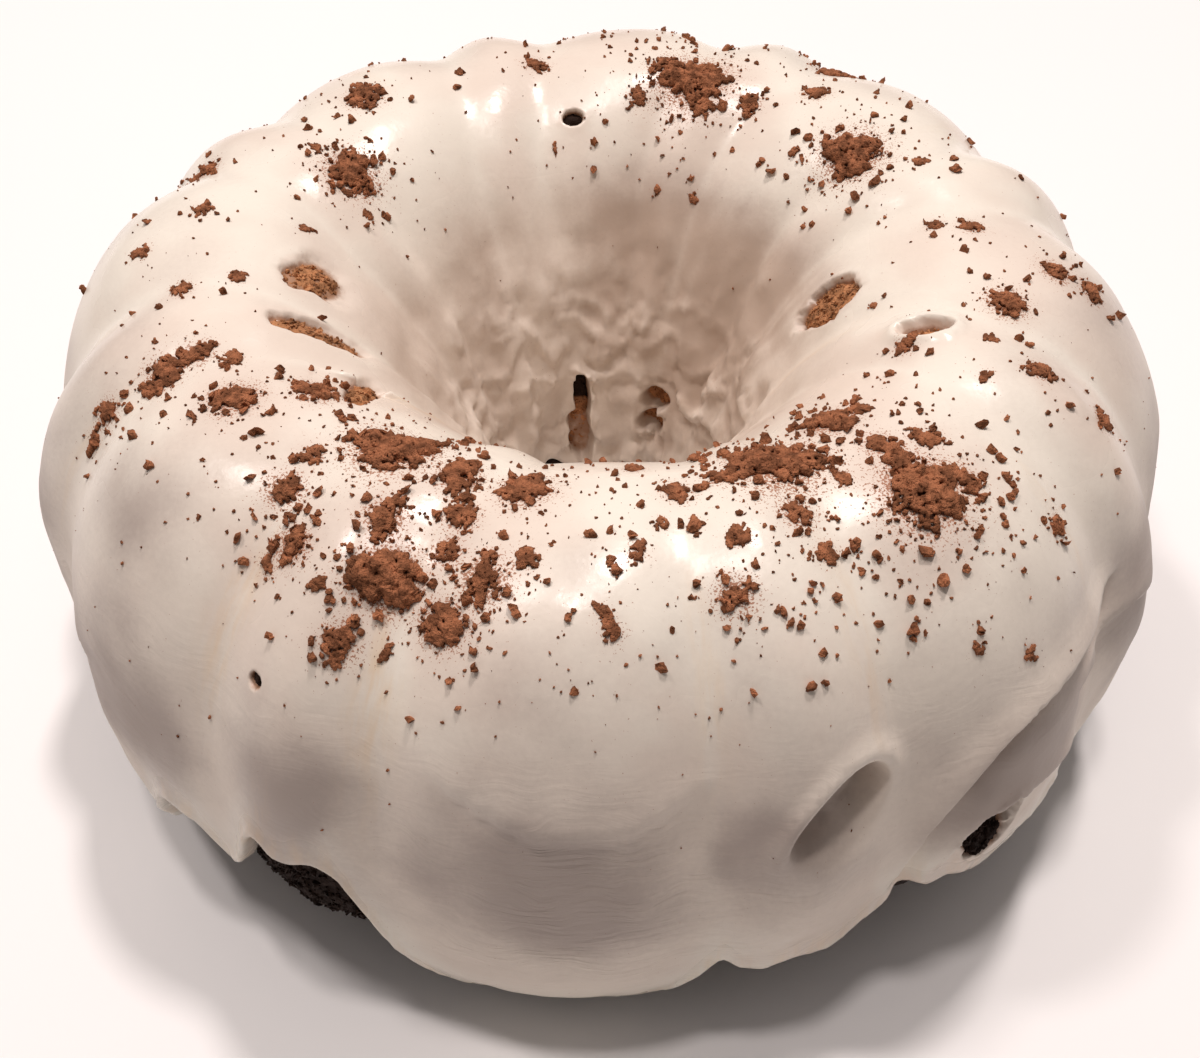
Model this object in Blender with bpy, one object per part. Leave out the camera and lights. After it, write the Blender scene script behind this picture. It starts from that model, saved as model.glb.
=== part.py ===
"""Fluted ring cake: a chocolate sponge under a poured coat of pale icing, with heaps of cocoa on top.

Metres, +Z up, resting on z = 0 with its front towards -Y.
An azimuth is in degrees from the front, positive towards +X.
A station is the distance along the rounded section from its crest: negative down the outer wall,
positive into the centre hole. A lift is a height above the mean icing surface.
"""
import math

import bmesh
import bpy
import numpy as np
from mathutils import Matrix, Vector
from mathutils.bvhtree import BVHTree

# Mean icing surface: an outer and an inner superellipse quarter that meet at the crest.
GIRTH_RADIUS = 0.118
GIRTH_HEIGHT = 0.0285
FOOT_RADIUS = 0.1055
CREST_RADIUS = 0.074
CREST_HEIGHT = 0.098
THROAT_RADIUS = 0.0232
THROAT_HEIGHT = 0.004
OUTER_POWER = 2.25
INNER_POWER = 1.9

# Flutes: wide and narrow lobes alternate around the ring and lean sideways inside the hole.
SECTORS = 8
SECTOR = 360 / SECTORS
NARROW_CENTRE = -27.5
NARROW_WIDTH = 17.0
NARROW_STEPS = 5
WIDE_STEPS = 7
NARROW_POWER = 1.4
WIDE_POWER = 2.2
INNER_LEAN = 8.0
LEAN_FROM = -0.010
LEAN_TO = 0.035
FLUTE_STATIONS = (-0.115, -0.090, -0.055, -0.020, 0.000, 0.030, 0.070, 0.110)
FLUTE_STRENGTH = (0.35, 0.60, 1.00, 0.90, 0.35, 0.45, 0.40, 0.20)
SPONGE_FLUTE = 0.0026
ICING_FLUTE = 0.0020

# Icing coat.
GAP = 0.0003
HEAP_GAP = 0.0008
ICING_DEPTH = 0.0034
SKIRT_DEPTH = 0.0042
NOSE = 0.0010
LUMP = 0.0005
THROAT_LUMP = 0.0010
EDGE_STATION = -0.093
THROAT_END = 0.105
THROAT_WAVE = 0.003
LOWEST_STATION = -0.1185

# Tongues of icing below the general edge: azimuth, half width in degrees, drop. A rise is negative.
TONGUES = (
    (-4, 14.0, 0.0210), (18, 8.0, 0.0030), (40, 6.0, 0.0090), (57, 7.0, 0.0150),
    (80, 9.0, 0.0070), (103, 6.0, 0.0130), (126, 10.0, 0.0050), (151, 7.0, 0.0160),
    (176, 9.0, 0.0080), (-159, 6.0, 0.0140), (-136, 9.0, 0.0060), (-113, 7.0, 0.0120),
    (-90, 8.0, 0.0060), (-72, 6.0, 0.0110), (-51, 5.0, 0.0160), (-41, 3.5, -0.0080),
    (-27, 6.5, -0.0165),
)

# Sponge rim and underside: the baked dome is below, so the outer rim stands clear of the ground.
RIM_STATION = -0.0925
RIM_TURN_DEPTH = 0.0080
RIM_TURN_LENGTH = 0.0200
RIM_STEP = 0.0030
DOME_ROWS = ((0.10, 0.88), (0.55, 0.36))
REST_OUTER = 0.072
REST_INNER = 0.044
THROAT_TOE = (0.030, 0.0035)

# Rows of the icing: some follow its wavy edges, the rest are level and closer where the section turns.
EDGE_ROWS = 3
BODY_ROWS = 8
THROAT_ROWS = 1
ROWS = EDGE_ROWS + BODY_ROWS + THROAT_ROWS
BODY_FROM = -0.066
BODY_TO = 0.086
TURN_WEIGHT = 0.020

# Gaps that leave the sponge bare: azimuth, station, width, length along the section, slant.
WINDOWS = (
    (-86, 0.0175, 0.0110, 0.0095, 0),
    (-69, 0.0175, 0.0070, 0.0180, 0),
    (-48, 0.0210, 0.0085, 0.0130, 0),
    (93, 0.0315, 0.0105, 0.0145, 0),
    (68, 0.0100, 0.0055, 0.0085, 0),
    (-169, 0.0880, 0.0048, 0.0240, 0),
    (149, 0.0860, 0.0065, 0.0110, 0),
    (37, -0.0850, 0.0150, 0.0130, 25),
    (-174, 0.0165, 0.0050, 0.0036, 0),
)
WINDOW_DEPTH = 0.0110
CUTTER_SIDES = 10
CUTTER_RINGS = 6
# A blind dent in the icing: azimuth, station, width, length, slant and depth.
DENT = (19, -0.0570, 0.0120, 0.0200, -28, 0.0024)

# Heaps of cocoa: azimuth, station, width around, length along the section, height.
HEAPS = (
    (-31, 0.0070, 0.0150, 0.0140, 0.0045),
    (25, 0.0065, 0.0215, 0.0110, 0.0045),
    (37, -0.0110, 0.0160, 0.0210, 0.0055),
    (-22, -0.0145, 0.0145, 0.0140, 0.0055),
    (162, 0.0060, 0.0220, 0.0170, 0.0045),
    (122, 0.0080, 0.0180, 0.0130, 0.0045),
    (-119, 0.0135, 0.0140, 0.0120, 0.0040),
)
HEAP_SIDES = 11
HEAP_RINGS = (0.42, 0.76, 1.0)
HEAP_TOPS = (0.95, 0.70, 0.10)
HEAP_OVAL = 0.10
HEAP_LOBE = 0.09

ICING_COLOR = (0.72, 0.67, 0.60)
SPONGE_COLOR = (0.035, 0.016, 0.009)
COCOA_COLOR = (0.20, 0.075, 0.032)


def clear_scene():
    for item in list(bpy.data.objects):
        bpy.data.objects.remove(item, do_unlink=True)


def mean_section():
    """Radii and heights of the mean icing surface, from the foot over the crest to the throat."""
    fall = np.linspace(1.0, 0.0, 60)[:-1]
    foot = (GIRTH_RADIUS - (GIRTH_RADIUS - FOOT_RADIUS) * fall**2, GIRTH_HEIGHT * (1.0 - fall))
    turn = np.linspace(0.0, math.pi / 2, 240)
    near = np.cos(turn).clip(0.0)
    far = np.sin(turn)
    outer = (
        CREST_RADIUS + (GIRTH_RADIUS - CREST_RADIUS) * near ** (2 / OUTER_POWER),
        GIRTH_HEIGHT + (CREST_HEIGHT - GIRTH_HEIGHT) * far ** (2 / OUTER_POWER),
    )
    inner = (
        CREST_RADIUS - (CREST_RADIUS - THROAT_RADIUS) * far[1:] ** (2 / INNER_POWER),
        THROAT_HEIGHT + (CREST_HEIGHT - THROAT_HEIGHT) * near[1:] ** (2 / INNER_POWER),
    )
    radius = np.concatenate([foot[0], outer[0], inner[0], [THROAT_RADIUS]])
    height = np.concatenate([foot[1], outer[1], inner[1], [0.0]])
    return radius, height


RADIUS, HEIGHT = mean_section()
STATION = np.concatenate([[0.0], np.cumsum(np.hypot(np.diff(RADIUS), np.diff(HEIGHT)))])
STATION -= STATION[np.argmax(HEIGHT)]
HEADING = np.unwrap(np.arctan2(np.gradient(HEIGHT, STATION), np.gradient(RADIUS, STATION)))
MEASURE = STATION + TURN_WEIGHT * np.abs(HEADING - HEADING[0])


def normal_at(station):
    """Outward normal of the mean surface as (radial, upward)."""
    heading = np.interp(station, STATION, HEADING)
    return np.sin(heading), -np.cos(heading)


def place(azimuth, station, lift):
    """World positions of points on the mean surface, raised along its normal."""
    out, up = normal_at(station)
    radius = np.interp(station, STATION, RADIUS) + lift * out
    height = np.interp(station, STATION, HEIGHT) + lift * up
    return ring_point(azimuth, radius, height)


def ring_point(azimuth, radius, height):
    angle = np.radians(azimuth)
    return np.stack([radius * np.sin(angle), -radius * np.cos(angle), height + 0.0 * angle], axis=-1)


def lean(station):
    """Sideways swing of the flutes, in degrees, from the outer wall to the hole."""
    share = np.clip((station - LEAN_FROM) / (LEAN_TO - LEAN_FROM), 0.0, 1.0)
    return INNER_LEAN * share * share * (3.0 - 2.0 * share)


def flute(azimuth, station):
    """Lobe height from +1 on a ridge to -1 in a crease, faded along the section."""
    across = (azimuth - lean(station) - NARROW_CENTRE) % SECTOR
    from_narrow = np.minimum(across, SECTOR - across) / (NARROW_WIDTH / 2)
    from_wide = np.abs(across - SECTOR / 2) / ((SECTOR - NARROW_WIDTH) / 2)
    narrow = 1.0 - 2.0 * np.minimum(from_narrow, 1.0) ** NARROW_POWER
    wide = 1.0 - 2.0 * np.minimum(from_wide, 1.0) ** WIDE_POWER
    return np.where(from_narrow < 1.0, narrow, wide) * np.interp(station, FLUTE_STATIONS, FLUTE_STRENGTH)


def tongue(azimuth, centre, half_width):
    """A flat-topped bump around one azimuth."""
    away = (azimuth - centre + 180.0) % 360.0 - 180.0
    return np.exp(-((away / half_width) ** 4))


def edge_station(azimuth):
    """Where the icing's lower edge runs."""
    drop = sum(length * tongue(azimuth, centre, half) for centre, half, length in TONGUES)
    return np.maximum(EDGE_STATION - drop, LOWEST_STATION)


def throat_station(azimuth):
    """Where the icing ends deep in the hole."""
    angle = np.radians(azimuth)
    return THROAT_END + THROAT_WAVE * np.sin(3.0 * angle + 0.6) * np.cos(5.0 * angle)


def lumps(azimuth, station):
    """Soft unevenness of the poured coat, stronger deep in the hole."""
    angle = np.radians(azimuth)
    size = np.interp(station, (0.040, 0.080), (LUMP, THROAT_LUMP))
    wave = np.sin(3.0 * angle + 1.1 + station / 0.021) + 0.8 * np.sin(7.0 * angle - station / 0.013)
    return size * wave


def icing_lift(azimuth, station):
    return ICING_FLUTE * flute(azimuth, station) + lumps(azimuth, station)


def sponge_lift(azimuth, station):
    """The sponge's surface under the icing, turned inwards below its rim."""
    below = np.clip((RIM_STATION - station) / RIM_TURN_LENGTH, 0.0, 2.0)
    return SPONGE_FLUTE * flute(azimuth, station) - ICING_DEPTH - RIM_TURN_DEPTH * below**2


def columns():
    """Azimuths of the mesh columns: each crease between two lobes falls on one."""
    narrow = np.arange(NARROW_STEPS) / NARROW_STEPS * NARROW_WIDTH
    wide = NARROW_WIDTH + np.arange(WIDE_STEPS) / WIDE_STEPS * (SECTOR - NARROW_WIDTH)
    first = NARROW_CENTRE - NARROW_WIDTH / 2
    sector = np.concatenate([narrow, wide]) + first
    return np.concatenate([sector + SECTOR * turn for turn in range(SECTORS)])


def coat_rows():
    """Azimuth and station of every point that the icing and the sponge share, columns by rows."""
    column = columns()[:, None]
    edge = edge_station(column)
    wall = edge + (BODY_FROM - edge) * np.arange(EDGE_ROWS) / EDGE_ROWS
    ends = np.interp((BODY_FROM, BODY_TO), STATION, MEASURE)
    body = np.interp(np.linspace(*ends, BODY_ROWS), MEASURE, STATION) + 0.0 * column
    throat = BODY_TO + (throat_station(column) - BODY_TO) * (1 + np.arange(THROAT_ROWS)) / THROAT_ROWS
    station = np.concatenate([wall, body, throat], axis=1)
    return column + lean(station), station


def icing_loops():
    """Closed section of the icing at each column: outer face, then inner face backwards, then its nose."""
    azimuth, station = coat_rows()
    top = icing_lift(azimuth, station)
    under = np.maximum(sponge_lift(azimuth, station) + GAP, top - SKIRT_DEPTH)
    middle = (top[:, :1] + under[:, :1]) / 2
    nose = place(azimuth[:, :1], station[:, :1] - NOSE, middle)
    outer = place(azimuth, station, top)
    inner = place(azimuth, station, under)[:, ::-1]
    rising = [True] * ROWS + [False] * ROWS + [True]
    return np.concatenate([outer, inner, nose], axis=1), rising


def sponge_loops():
    """Closed section of the sponge at each column, down through the hole and back under the dome."""
    azimuth, station = coat_rows()
    coat = place(azimuth, station, sponge_lift(azimuth, station))
    column = azimuth[:, :1]
    foot = np.minimum(RIM_STATION, station[:, :1] - RIM_STEP)
    foot = np.maximum(foot, STATION[0] + RIM_STEP)
    rim = place(column, foot, sponge_lift(column, foot))
    rim_radius = np.hypot(rim[..., 0], rim[..., 1])
    rim_height = rim[..., 2]
    last = azimuth[:, -1:]
    under = [
        ring_point(last, THROAT_TOE[0] + 0.0 * last, THROAT_TOE[1] + 0.0 * last),
        ring_point(last, REST_INNER + 0.0 * last, 0.0 * last),
        ring_point(column, REST_OUTER + 0.0 * column, 0.0 * column),
    ]
    for inward, height in reversed(DOME_ROWS):
        radius = rim_radius + (REST_OUTER - rim_radius) * inward
        under.append(ring_point(column, radius, rim_height * height))
    points = np.concatenate([coat] + under + [rim], axis=1)
    return points, [True] * points.shape[1]


def closed_ring(name, loops, rising):
    """A ring skinned over closed sections; rising says which way each row's triangles split."""
    turns, rows = loops.shape[:2]
    mesh = bpy.data.meshes.new(name)
    faces = []
    for turn in range(turns):
        after = (turn + 1) % turns
        for row in range(rows):
            above = (row + 1) % rows
            a, b = turn * rows + row, after * rows + row
            c, d = after * rows + above, turn * rows + above
            faces += [(a, b, c), (a, c, d)] if rising[row] else [(a, b, d), (b, c, d)]
    mesh.from_pydata(loops.reshape(-1, 3).tolist(), [], faces)
    return finished(name, mesh)


def finished(name, mesh):
    """Face the mesh outwards, shade it and link it as an object."""
    shape = bmesh.new()
    shape.from_mesh(mesh)
    bmesh.ops.recalc_face_normals(shape, faces=shape.faces)
    shape.to_mesh(mesh)
    shape.free()
    mesh.shade_smooth()
    mesh.set_sharp_from_angle(angle=math.radians(50))
    item = bpy.data.objects.new(name, mesh)
    bpy.context.collection.objects.link(item)
    return item


def local_axes(azimuth, station, slant):
    """Sideways, along and outward directions on the icing, the first two turned by slant."""
    angle, turned = math.radians(azimuth), math.radians(slant)
    out, up = normal_at(station)
    outward = Vector((out * math.sin(angle), -out * math.cos(angle), up))
    sideways = Vector((math.cos(angle), math.sin(angle), 0.0))
    along = outward.cross(sideways)
    return (
        sideways * math.cos(turned) + along * math.sin(turned),
        along * math.cos(turned) - sideways * math.sin(turned),
        outward,
    )


def cutter(name, azimuth, station, width, length, slant, reach):
    """An ellipsoid centred on the icing's surface, kept out of the built part."""
    sideways, along, outward = local_axes(azimuth, station, slant)
    centre = Vector(place(azimuth, station, icing_lift(azimuth, station)))
    sizes = (sideways * width / 2, along * length / 2, outward * reach)
    turn = Matrix([list(size) for size in sizes]).transposed().to_4x4()
    mesh = bpy.data.meshes.new(name)
    shape = bmesh.new()
    bmesh.ops.create_uvsphere(shape, u_segments=CUTTER_SIDES, v_segments=CUTTER_RINGS, radius=1.0)
    bmesh.ops.transform(shape, matrix=Matrix.Translation(centre) @ turn, verts=shape.verts)
    shape.to_mesh(mesh)
    shape.free()
    item = finished(name, mesh)
    item.hide_render = True
    item.display_type = "WIRE"
    return item


def cut(item, tool):
    modifier = item.modifiers.new(tool.name, "BOOLEAN")
    modifier.operation = "DIFFERENCE"
    modifier.object = tool


def heap(name, ground, azimuth, station, width, length, height):
    """A low lobed mound whose underside follows the icing it lies on."""
    sideways, along, outward = local_axes(azimuth, station, 0.0)
    centre = Vector(place(azimuth, station, 0.0))
    base, top = [], []
    spots = [(0.0, 0.0, 1.0)]
    for ring, level in zip(HEAP_RINGS, HEAP_TOPS):
        for side in range(HEAP_SIDES):
            angle = 2 * math.pi * side / HEAP_SIDES
            uneven = HEAP_OVAL * math.sin(2 * angle + azimuth) + HEAP_LOBE * math.sin(3 * angle - azimuth)
            reach = ring * (1.0 + uneven)
            spots.append((reach * math.cos(angle), reach * math.sin(angle), level))
    for across, onward, level in spots:
        start = centre + sideways * across * width / 2 + along * onward * length / 2 + outward * 0.02
        spot = ground.ray_cast(start, -outward)[0]
        base.append(spot + outward * HEAP_GAP)
        top.append(spot + outward * (HEAP_GAP + GAP + height * level))
    faces = []
    for start, flip in ((0, False), (len(base), True)):
        for side in range(HEAP_SIDES):
            after = (side + 1) % HEAP_SIDES
            patch = [(start, start + 1 + after, start + 1 + side)]
            for ring in range(len(HEAP_RINGS) - 1):
                a = start + 1 + ring * HEAP_SIDES + side
                b = start + 1 + ring * HEAP_SIDES + after
                patch += [(a, b, b + HEAP_SIDES), (a, b + HEAP_SIDES, a + HEAP_SIDES)]
            faces += [face[::-1] for face in patch] if flip else patch
    rim = 1 + (len(HEAP_RINGS) - 1) * HEAP_SIDES
    for side in range(HEAP_SIDES):
        after = (side + 1) % HEAP_SIDES
        faces.append((rim + side, rim + after, len(base) + rim + after))
        faces.append((rim + side, len(base) + rim + after, len(base) + rim + side))
    mesh = bpy.data.meshes.new(name)
    mesh.from_pydata([list(spot) for spot in base + top], [], faces)
    return finished(name, mesh)


def material(name, color, roughness):
    made = bpy.data.materials.new(name)
    made.use_nodes = True
    made.diffuse_color = (*color, 1.0)
    shader = made.node_tree.nodes["Principled BSDF"]
    shader.inputs["Base Color"].default_value = (*color, 1.0)
    shader.inputs["Roughness"].default_value = roughness
    shader.inputs["Metallic"].default_value = 0.0
    return made


def centre_on_origin(items):
    """Shift every mesh sideways so that the part's box stands centred on the origin."""
    spots = np.array([vertex.co[:] for item in items for vertex in item.data.vertices])
    middle = (spots.min(axis=0) + spots.max(axis=0)) / 2
    shift = Matrix.Translation((-middle[0], -middle[1], 0.0))
    for item in bpy.data.objects:
        item.data.transform(shift)


def build():
    clear_scene()
    sponge = closed_ring("sponge", *sponge_loops())
    icing = closed_ring("icing", *icing_loops())
    for number, window in enumerate(WINDOWS, 1):
        cut(icing, cutter(f"window_cutter_{number}", *window, WINDOW_DEPTH))
    cut(icing, cutter("dent_cutter", *DENT))
    bpy.context.view_layer.update()
    ground = BVHTree.FromObject(icing, bpy.context.evaluated_depsgraph_get())
    heaps = [heap(f"cocoa_heap_{number}", ground, *row) for number, row in enumerate(HEAPS, 1)]
    sponge.data.materials.append(material("chocolate_sponge", SPONGE_COLOR, 0.9))
    icing.data.materials.append(material("icing", ICING_COLOR, 0.3))
    cocoa = material("cocoa", COCOA_COLOR, 0.95)
    for item in heaps:
        item.data.materials.append(cocoa)
    centre_on_origin([sponge, icing] + heaps)


build()
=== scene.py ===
"""Iced ring cake: a fluted chocolate sponge under poured icing, strewn with cocoa.

Metres, +Z up, front towards -Y. An azimuth is in degrees from the front, positive towards +X.
A station is the distance along the rounded section from its crest: negative down the outer wall,
positive into the centre hole. A lift is a height above the mean icing surface.
"""

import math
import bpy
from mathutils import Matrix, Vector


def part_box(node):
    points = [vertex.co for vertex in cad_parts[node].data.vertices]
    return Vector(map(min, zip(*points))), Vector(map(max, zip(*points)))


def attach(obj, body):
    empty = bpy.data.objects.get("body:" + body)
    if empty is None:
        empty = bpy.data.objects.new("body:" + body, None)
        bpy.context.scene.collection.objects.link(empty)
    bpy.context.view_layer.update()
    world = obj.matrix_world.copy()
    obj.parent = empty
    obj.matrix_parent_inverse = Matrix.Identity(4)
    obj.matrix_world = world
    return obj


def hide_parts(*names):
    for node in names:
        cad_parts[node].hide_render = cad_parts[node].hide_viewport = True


bl_info = {
    "name": "Iced Ring Cake",
    "version": (1, 0, 0),
    "blender": (4, 5, 0),
    "location": "3D View > Sidebar > Ring Cake",
    "description": "Builds an iced chocolate ring cake with cocoa on top",
    "category": "Add Mesh",
}

from collections import namedtuple

import bmesh
import bpy
import numpy as np
from bpy.props import (
    FloatProperty,
    FloatVectorProperty,
    IntProperty,
    PointerProperty,
)
from mathutils import Matrix, Vector, noise

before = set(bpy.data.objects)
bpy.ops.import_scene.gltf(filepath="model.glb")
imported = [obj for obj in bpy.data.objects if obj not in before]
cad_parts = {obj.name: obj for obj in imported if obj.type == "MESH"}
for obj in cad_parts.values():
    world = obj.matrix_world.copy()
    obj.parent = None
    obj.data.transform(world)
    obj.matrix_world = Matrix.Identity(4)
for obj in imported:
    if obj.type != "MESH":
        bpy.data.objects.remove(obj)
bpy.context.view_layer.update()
HEAP_NODES = sorted(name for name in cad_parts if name.startswith("cocoa_heap"))

# Flutes: wide and narrow lobes alternate around the ring and lean sideways inside the hole.
SECTORS = 8
SECTOR = 360 / SECTORS
NARROW_CENTRE = -27.5
NARROW_WIDTH = 17.0
NARROW_POWER = 1.4
WIDE_POWER = 2.2
INNER_LEAN = 8.0
LEAN_FROM, LEAN_TO = -0.010, 0.035
FLUTE_STATIONS = (-0.115, -0.090, -0.055, -0.020, 0.000, 0.030, 0.070, 0.110)
FLUTE_STRENGTH = (0.35, 0.60, 1.00, 0.90, 0.35, 0.45, 0.40, 0.20)
SPONGE_FLUTE = 0.0026

# Station of the widest ring, and round radii for lengths on the wall, on the edge and in the UV map.
GIRTH_STATION = -0.0905
WALL_RADIUS, EDGE_RADIUS, MAP_RADIUS = 0.117, 0.11, 0.1

# Ends of the icing.
EDGE_STATION = -0.093
LOWEST_STATION = -0.1185
THROAT_END = 0.105
THROAT_WAVE = 0.003
RIM_STATION = -0.0925
RIM_TURN_DEPTH = 0.0080
RIM_TURN_LENGTH = 0.0200
THROAT_TOE = (0.030, 0.0035)
REST_OUTER, REST_INNER = 0.072, 0.044

# Tongues of icing below the general edge: azimuth, half width in degrees, drop. A rise is negative.
TONGUES = (
    (-4, 14.0, 0.0210), (18, 8.0, 0.0030), (40, 6.0, 0.0090), (57, 7.0, 0.0150),
    (80, 9.0, 0.0070), (103, 6.0, 0.0130), (126, 10.0, 0.0050), (151, 7.0, 0.0160),
    (176, 9.0, 0.0080), (-159, 6.0, 0.0140), (-136, 9.0, 0.0060), (-113, 7.0, 0.0120),
    (-90, 8.0, 0.0060), (-72, 6.0, 0.0110), (-51, 5.0, 0.0160), (-41, 3.5, -0.0080),
    (-27, 6.5, -0.0165),
)
# Small drips and nicks on that edge, the same columns.
EDGE_NICKS = (
    (-30.5, 2.4, -0.0048), (-24, 3.0, -0.0030), (10.5, 1.1, -0.0040), (9.0, 2.6, -0.0050),
    (21, 3.2, 0.0035), (-35.5, 2.0, 0.0030), (28.5, 3.5, -0.0012), (31.5, 1.2, 0.0016),
    (26.0, 0.9, 0.0013), (35.5, 1.4, -0.0016),
    (14.5, 1.4, 0.0012), (-12.5, 2.0, 0.0012), (-17, 1.6, -0.0014), (4.5, 1.8, -0.0012),
    (-46.5, 1.1, 0.0030),
    (-57, 2.5, 0.0030), (64, 2.5, 0.0040), (92, 2.0, 0.0040), (-100, 2.2, 0.0040),
)

Hollow = namedtuple("Hollow", "azimuth station width length slant depth lip", defaults=(0.0,))
Gap = namedtuple("Gap", "azimuth station width length slant share lip fade swell")
# Gaps in the icing: azimuth, station, width, length along the section, slant, depth as a share of the
# way to the sponge, height of the raised lip, how far its far end fades out, and how far the sponge
# swells up into it.
GAPS = tuple(Gap(*row) for row in (
    (-86, 0.0178, 0.0080, 0.0118, 28, 0.56, 0.0001, 0.0050, 0.0022),
    (-70, 0.0190, 0.0052, 0.0195, -3, 0.66, 0.0002, 0.0020, 0.0020),
    (-51, 0.0203, 0.0042, 0.0175, 37, 0.84, 0.0001, 0.0010, 0.0020),
    (90.0, 0.0322, 0.0090, 0.0150, -15, 0.95, 0.0002, 0.0000, 0.0024),
    (68, 0.0100, 0.0050, 0.0085, 0, 1.00, 0.0009, 0.0000, 0.0008),
    (-169.5, 0.0850, 0.0030, 0.0130, 0, 1.00, 0.0003, 0.0000, 0.0004),
    (-167.5, 0.0960, 0.0052, 0.0150, 0, 0.74, 0.0002, 0.0000, 0.0004),
    (149, 0.0832, 0.0062, 0.0048, 0, 1.00, 0.0003, 0.0000, 0.0000),
    (150, 0.0898, 0.0058, 0.0044, 0, 1.00, 0.0003, 0.0000, 0.0000),
    (36.6, -0.0815, 0.0115, 0.0150, -10, 1.00, 0.0006, 0.0000, 0.0030),
    (33.2, -0.0603, 0.0015, 0.0100, -47, 1.00, 0.0000, 0.0000, 0.0000),
    (-173.5, 0.0184, 0.0040, 0.0027, 0, 1.00, 0.0002, 0.0000, 0.0022),
    (-31, -0.0397, 0.0024, 0.0022, 0, 1.00, 0.0001, 0.0000, 0.0026),
))
# The dent low on the front: azimuth, station, width, length, slant, depth and lip height.
DENT = Hollow(19.9, -0.0585, 0.0172, 0.0250, -37, 0.0062, 0.0012)
# Slumped folds low on the wall: points of azimuth and station, ridge height, drop below it, reach.
FOLDS = (
    (((27, -0.0830), (27.6, -0.0770), (28.4, -0.0700), (29.4, -0.0655), (31, -0.0613), (32.5, -0.0580),
      (34, -0.0553), (35.5, -0.0534), (38.5, -0.0516), (43, -0.0505), (49, -0.0500), (56, -0.0498)),
     0.0018, 0.0038, 0.0075),
    (((31.5, -0.0628), (33, -0.0598), (35, -0.0568), (38.5, -0.0548), (41, -0.0541)),
     0.0002, 0.0024, 0.0024),
    (((31.5, -0.0850), (32.8, -0.0775), (34.3, -0.0728), (37, -0.0722), (40, -0.0740), (45, -0.0765),
      (50, -0.0790)), 0.0015, 0.0014, 0.005),
    (((-14, -0.0450), (-10, -0.0485), (-7, -0.0513), (-4, -0.0533), (0, -0.0533), (3, -0.0522),
      (6, -0.0492), (9, -0.0465)), 0.0004, 0.0006, 0.016),
    (((48, -0.0630), (55, -0.0610), (64, -0.0620)), 0.0010, 0.0017, 0.010),
    (((-66, -0.0640), (-60, -0.0665), (-52, -0.0640)), 0.0004, 0.0007, 0.008),
    (((-58.5, 0.0145), (-56, 0.0185), (-53.5, 0.0225), (-51.5, 0.0262), (-49, 0.0300)),
     0.0015, 0.0004, 0.004),
    (((104, -0.0600), (112, -0.0570), (121, -0.0590)), 0.0009, 0.0014, 0.010),
    (((-128, -0.0700), (-120, -0.0660), (-110, -0.0670)), 0.0008, 0.0012, 0.010),
)
# Places where the sponge is sunk beneath them: azimuth, station, width, length, slant and depth.
SPONGE_HOLLOWS = (
    Hollow(19.9, -0.0585, 0.0215, 0.0310, -37, 0.0074),
    Hollow(40, -0.0680, 0.0400, 0.0380, 20, 0.0040),
    Hollow(28, -0.0790, 0.0150, 0.0240, 0, 0.0034),
    Hollow(58, -0.0680, 0.0240, 0.0220, 0, 0.0018),
)
# Ledges where runs of icing piled up in the hole: pitch along the section, height and where they start.
LEDGES = (
    (0.0105, 0.0032, 0.058, 0.10), (0.0064, 0.0012, 0.044, 0.55),
)
# Soft yellow-brown streaks where cocoa ran down: azimuth, station, half width, half length, strength.
STREAKS = (
    (-36.5, -0.034, 1.6, 0.020, 0.75), (-20, -0.032, 1.9, 0.020, 0.85), (9.5, -0.030, 1.3, 0.018, 0.45),
    (24, -0.028, 1.4, 0.016, 0.55), (-50, 0.036, 3.5, 0.012, 0.8), (76, 0.040, 2.0, 0.014, 0.6),
    (-29, -0.062, 1.2, 0.006, 0.5), (50, -0.030, 1.5, 0.014, 0.35), (-66, -0.036, 1.5, 0.014, 0.35),
    (120, -0.030, 1.8, 0.018, 0.5), (-140, -0.030, 1.8, 0.018, 0.5), (165, -0.034, 1.6, 0.018, 0.5),
)
# Greyer patches low on the front wall, the same columns.
GREY_PATCHES = (
    (12.5, -0.0590, 2.4, 0.007, 0.45), (-24.0, -0.0560, 3.5, 0.009, 0.25),
    (28.5, -0.0540, 2.6, 0.010, 0.30), (-5.0, -0.0570, 6.5, 0.007, 0.25), (35.0, -0.0640, 3.0, 0.004, 0.30),
)

# Clumps of cocoa in millimetres: azimuth, station, width around, length along the section, height,
# and how rounded and solid they are.
LARGE_CLUMPS = (
    (-31, 7.0, 14.0, 12.0, 2.6, 0.0), (25, 6.5, 19.0, 9.5, 2.5, 0.0), (37.5, -10.5, 10.0, 16.0, 2.8, 0.0),
    (-22, -16.0, 10.5, 9.5, 3.4, 0.5), (162, 6.0, 18.0, 12.0, 2.8, 0.0), (122, 10.5, 14.5, 10.0, 2.8, 0.0),
    (-119, 13.5, 11.5, 9.5, 2.5, 0.0),
)
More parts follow.
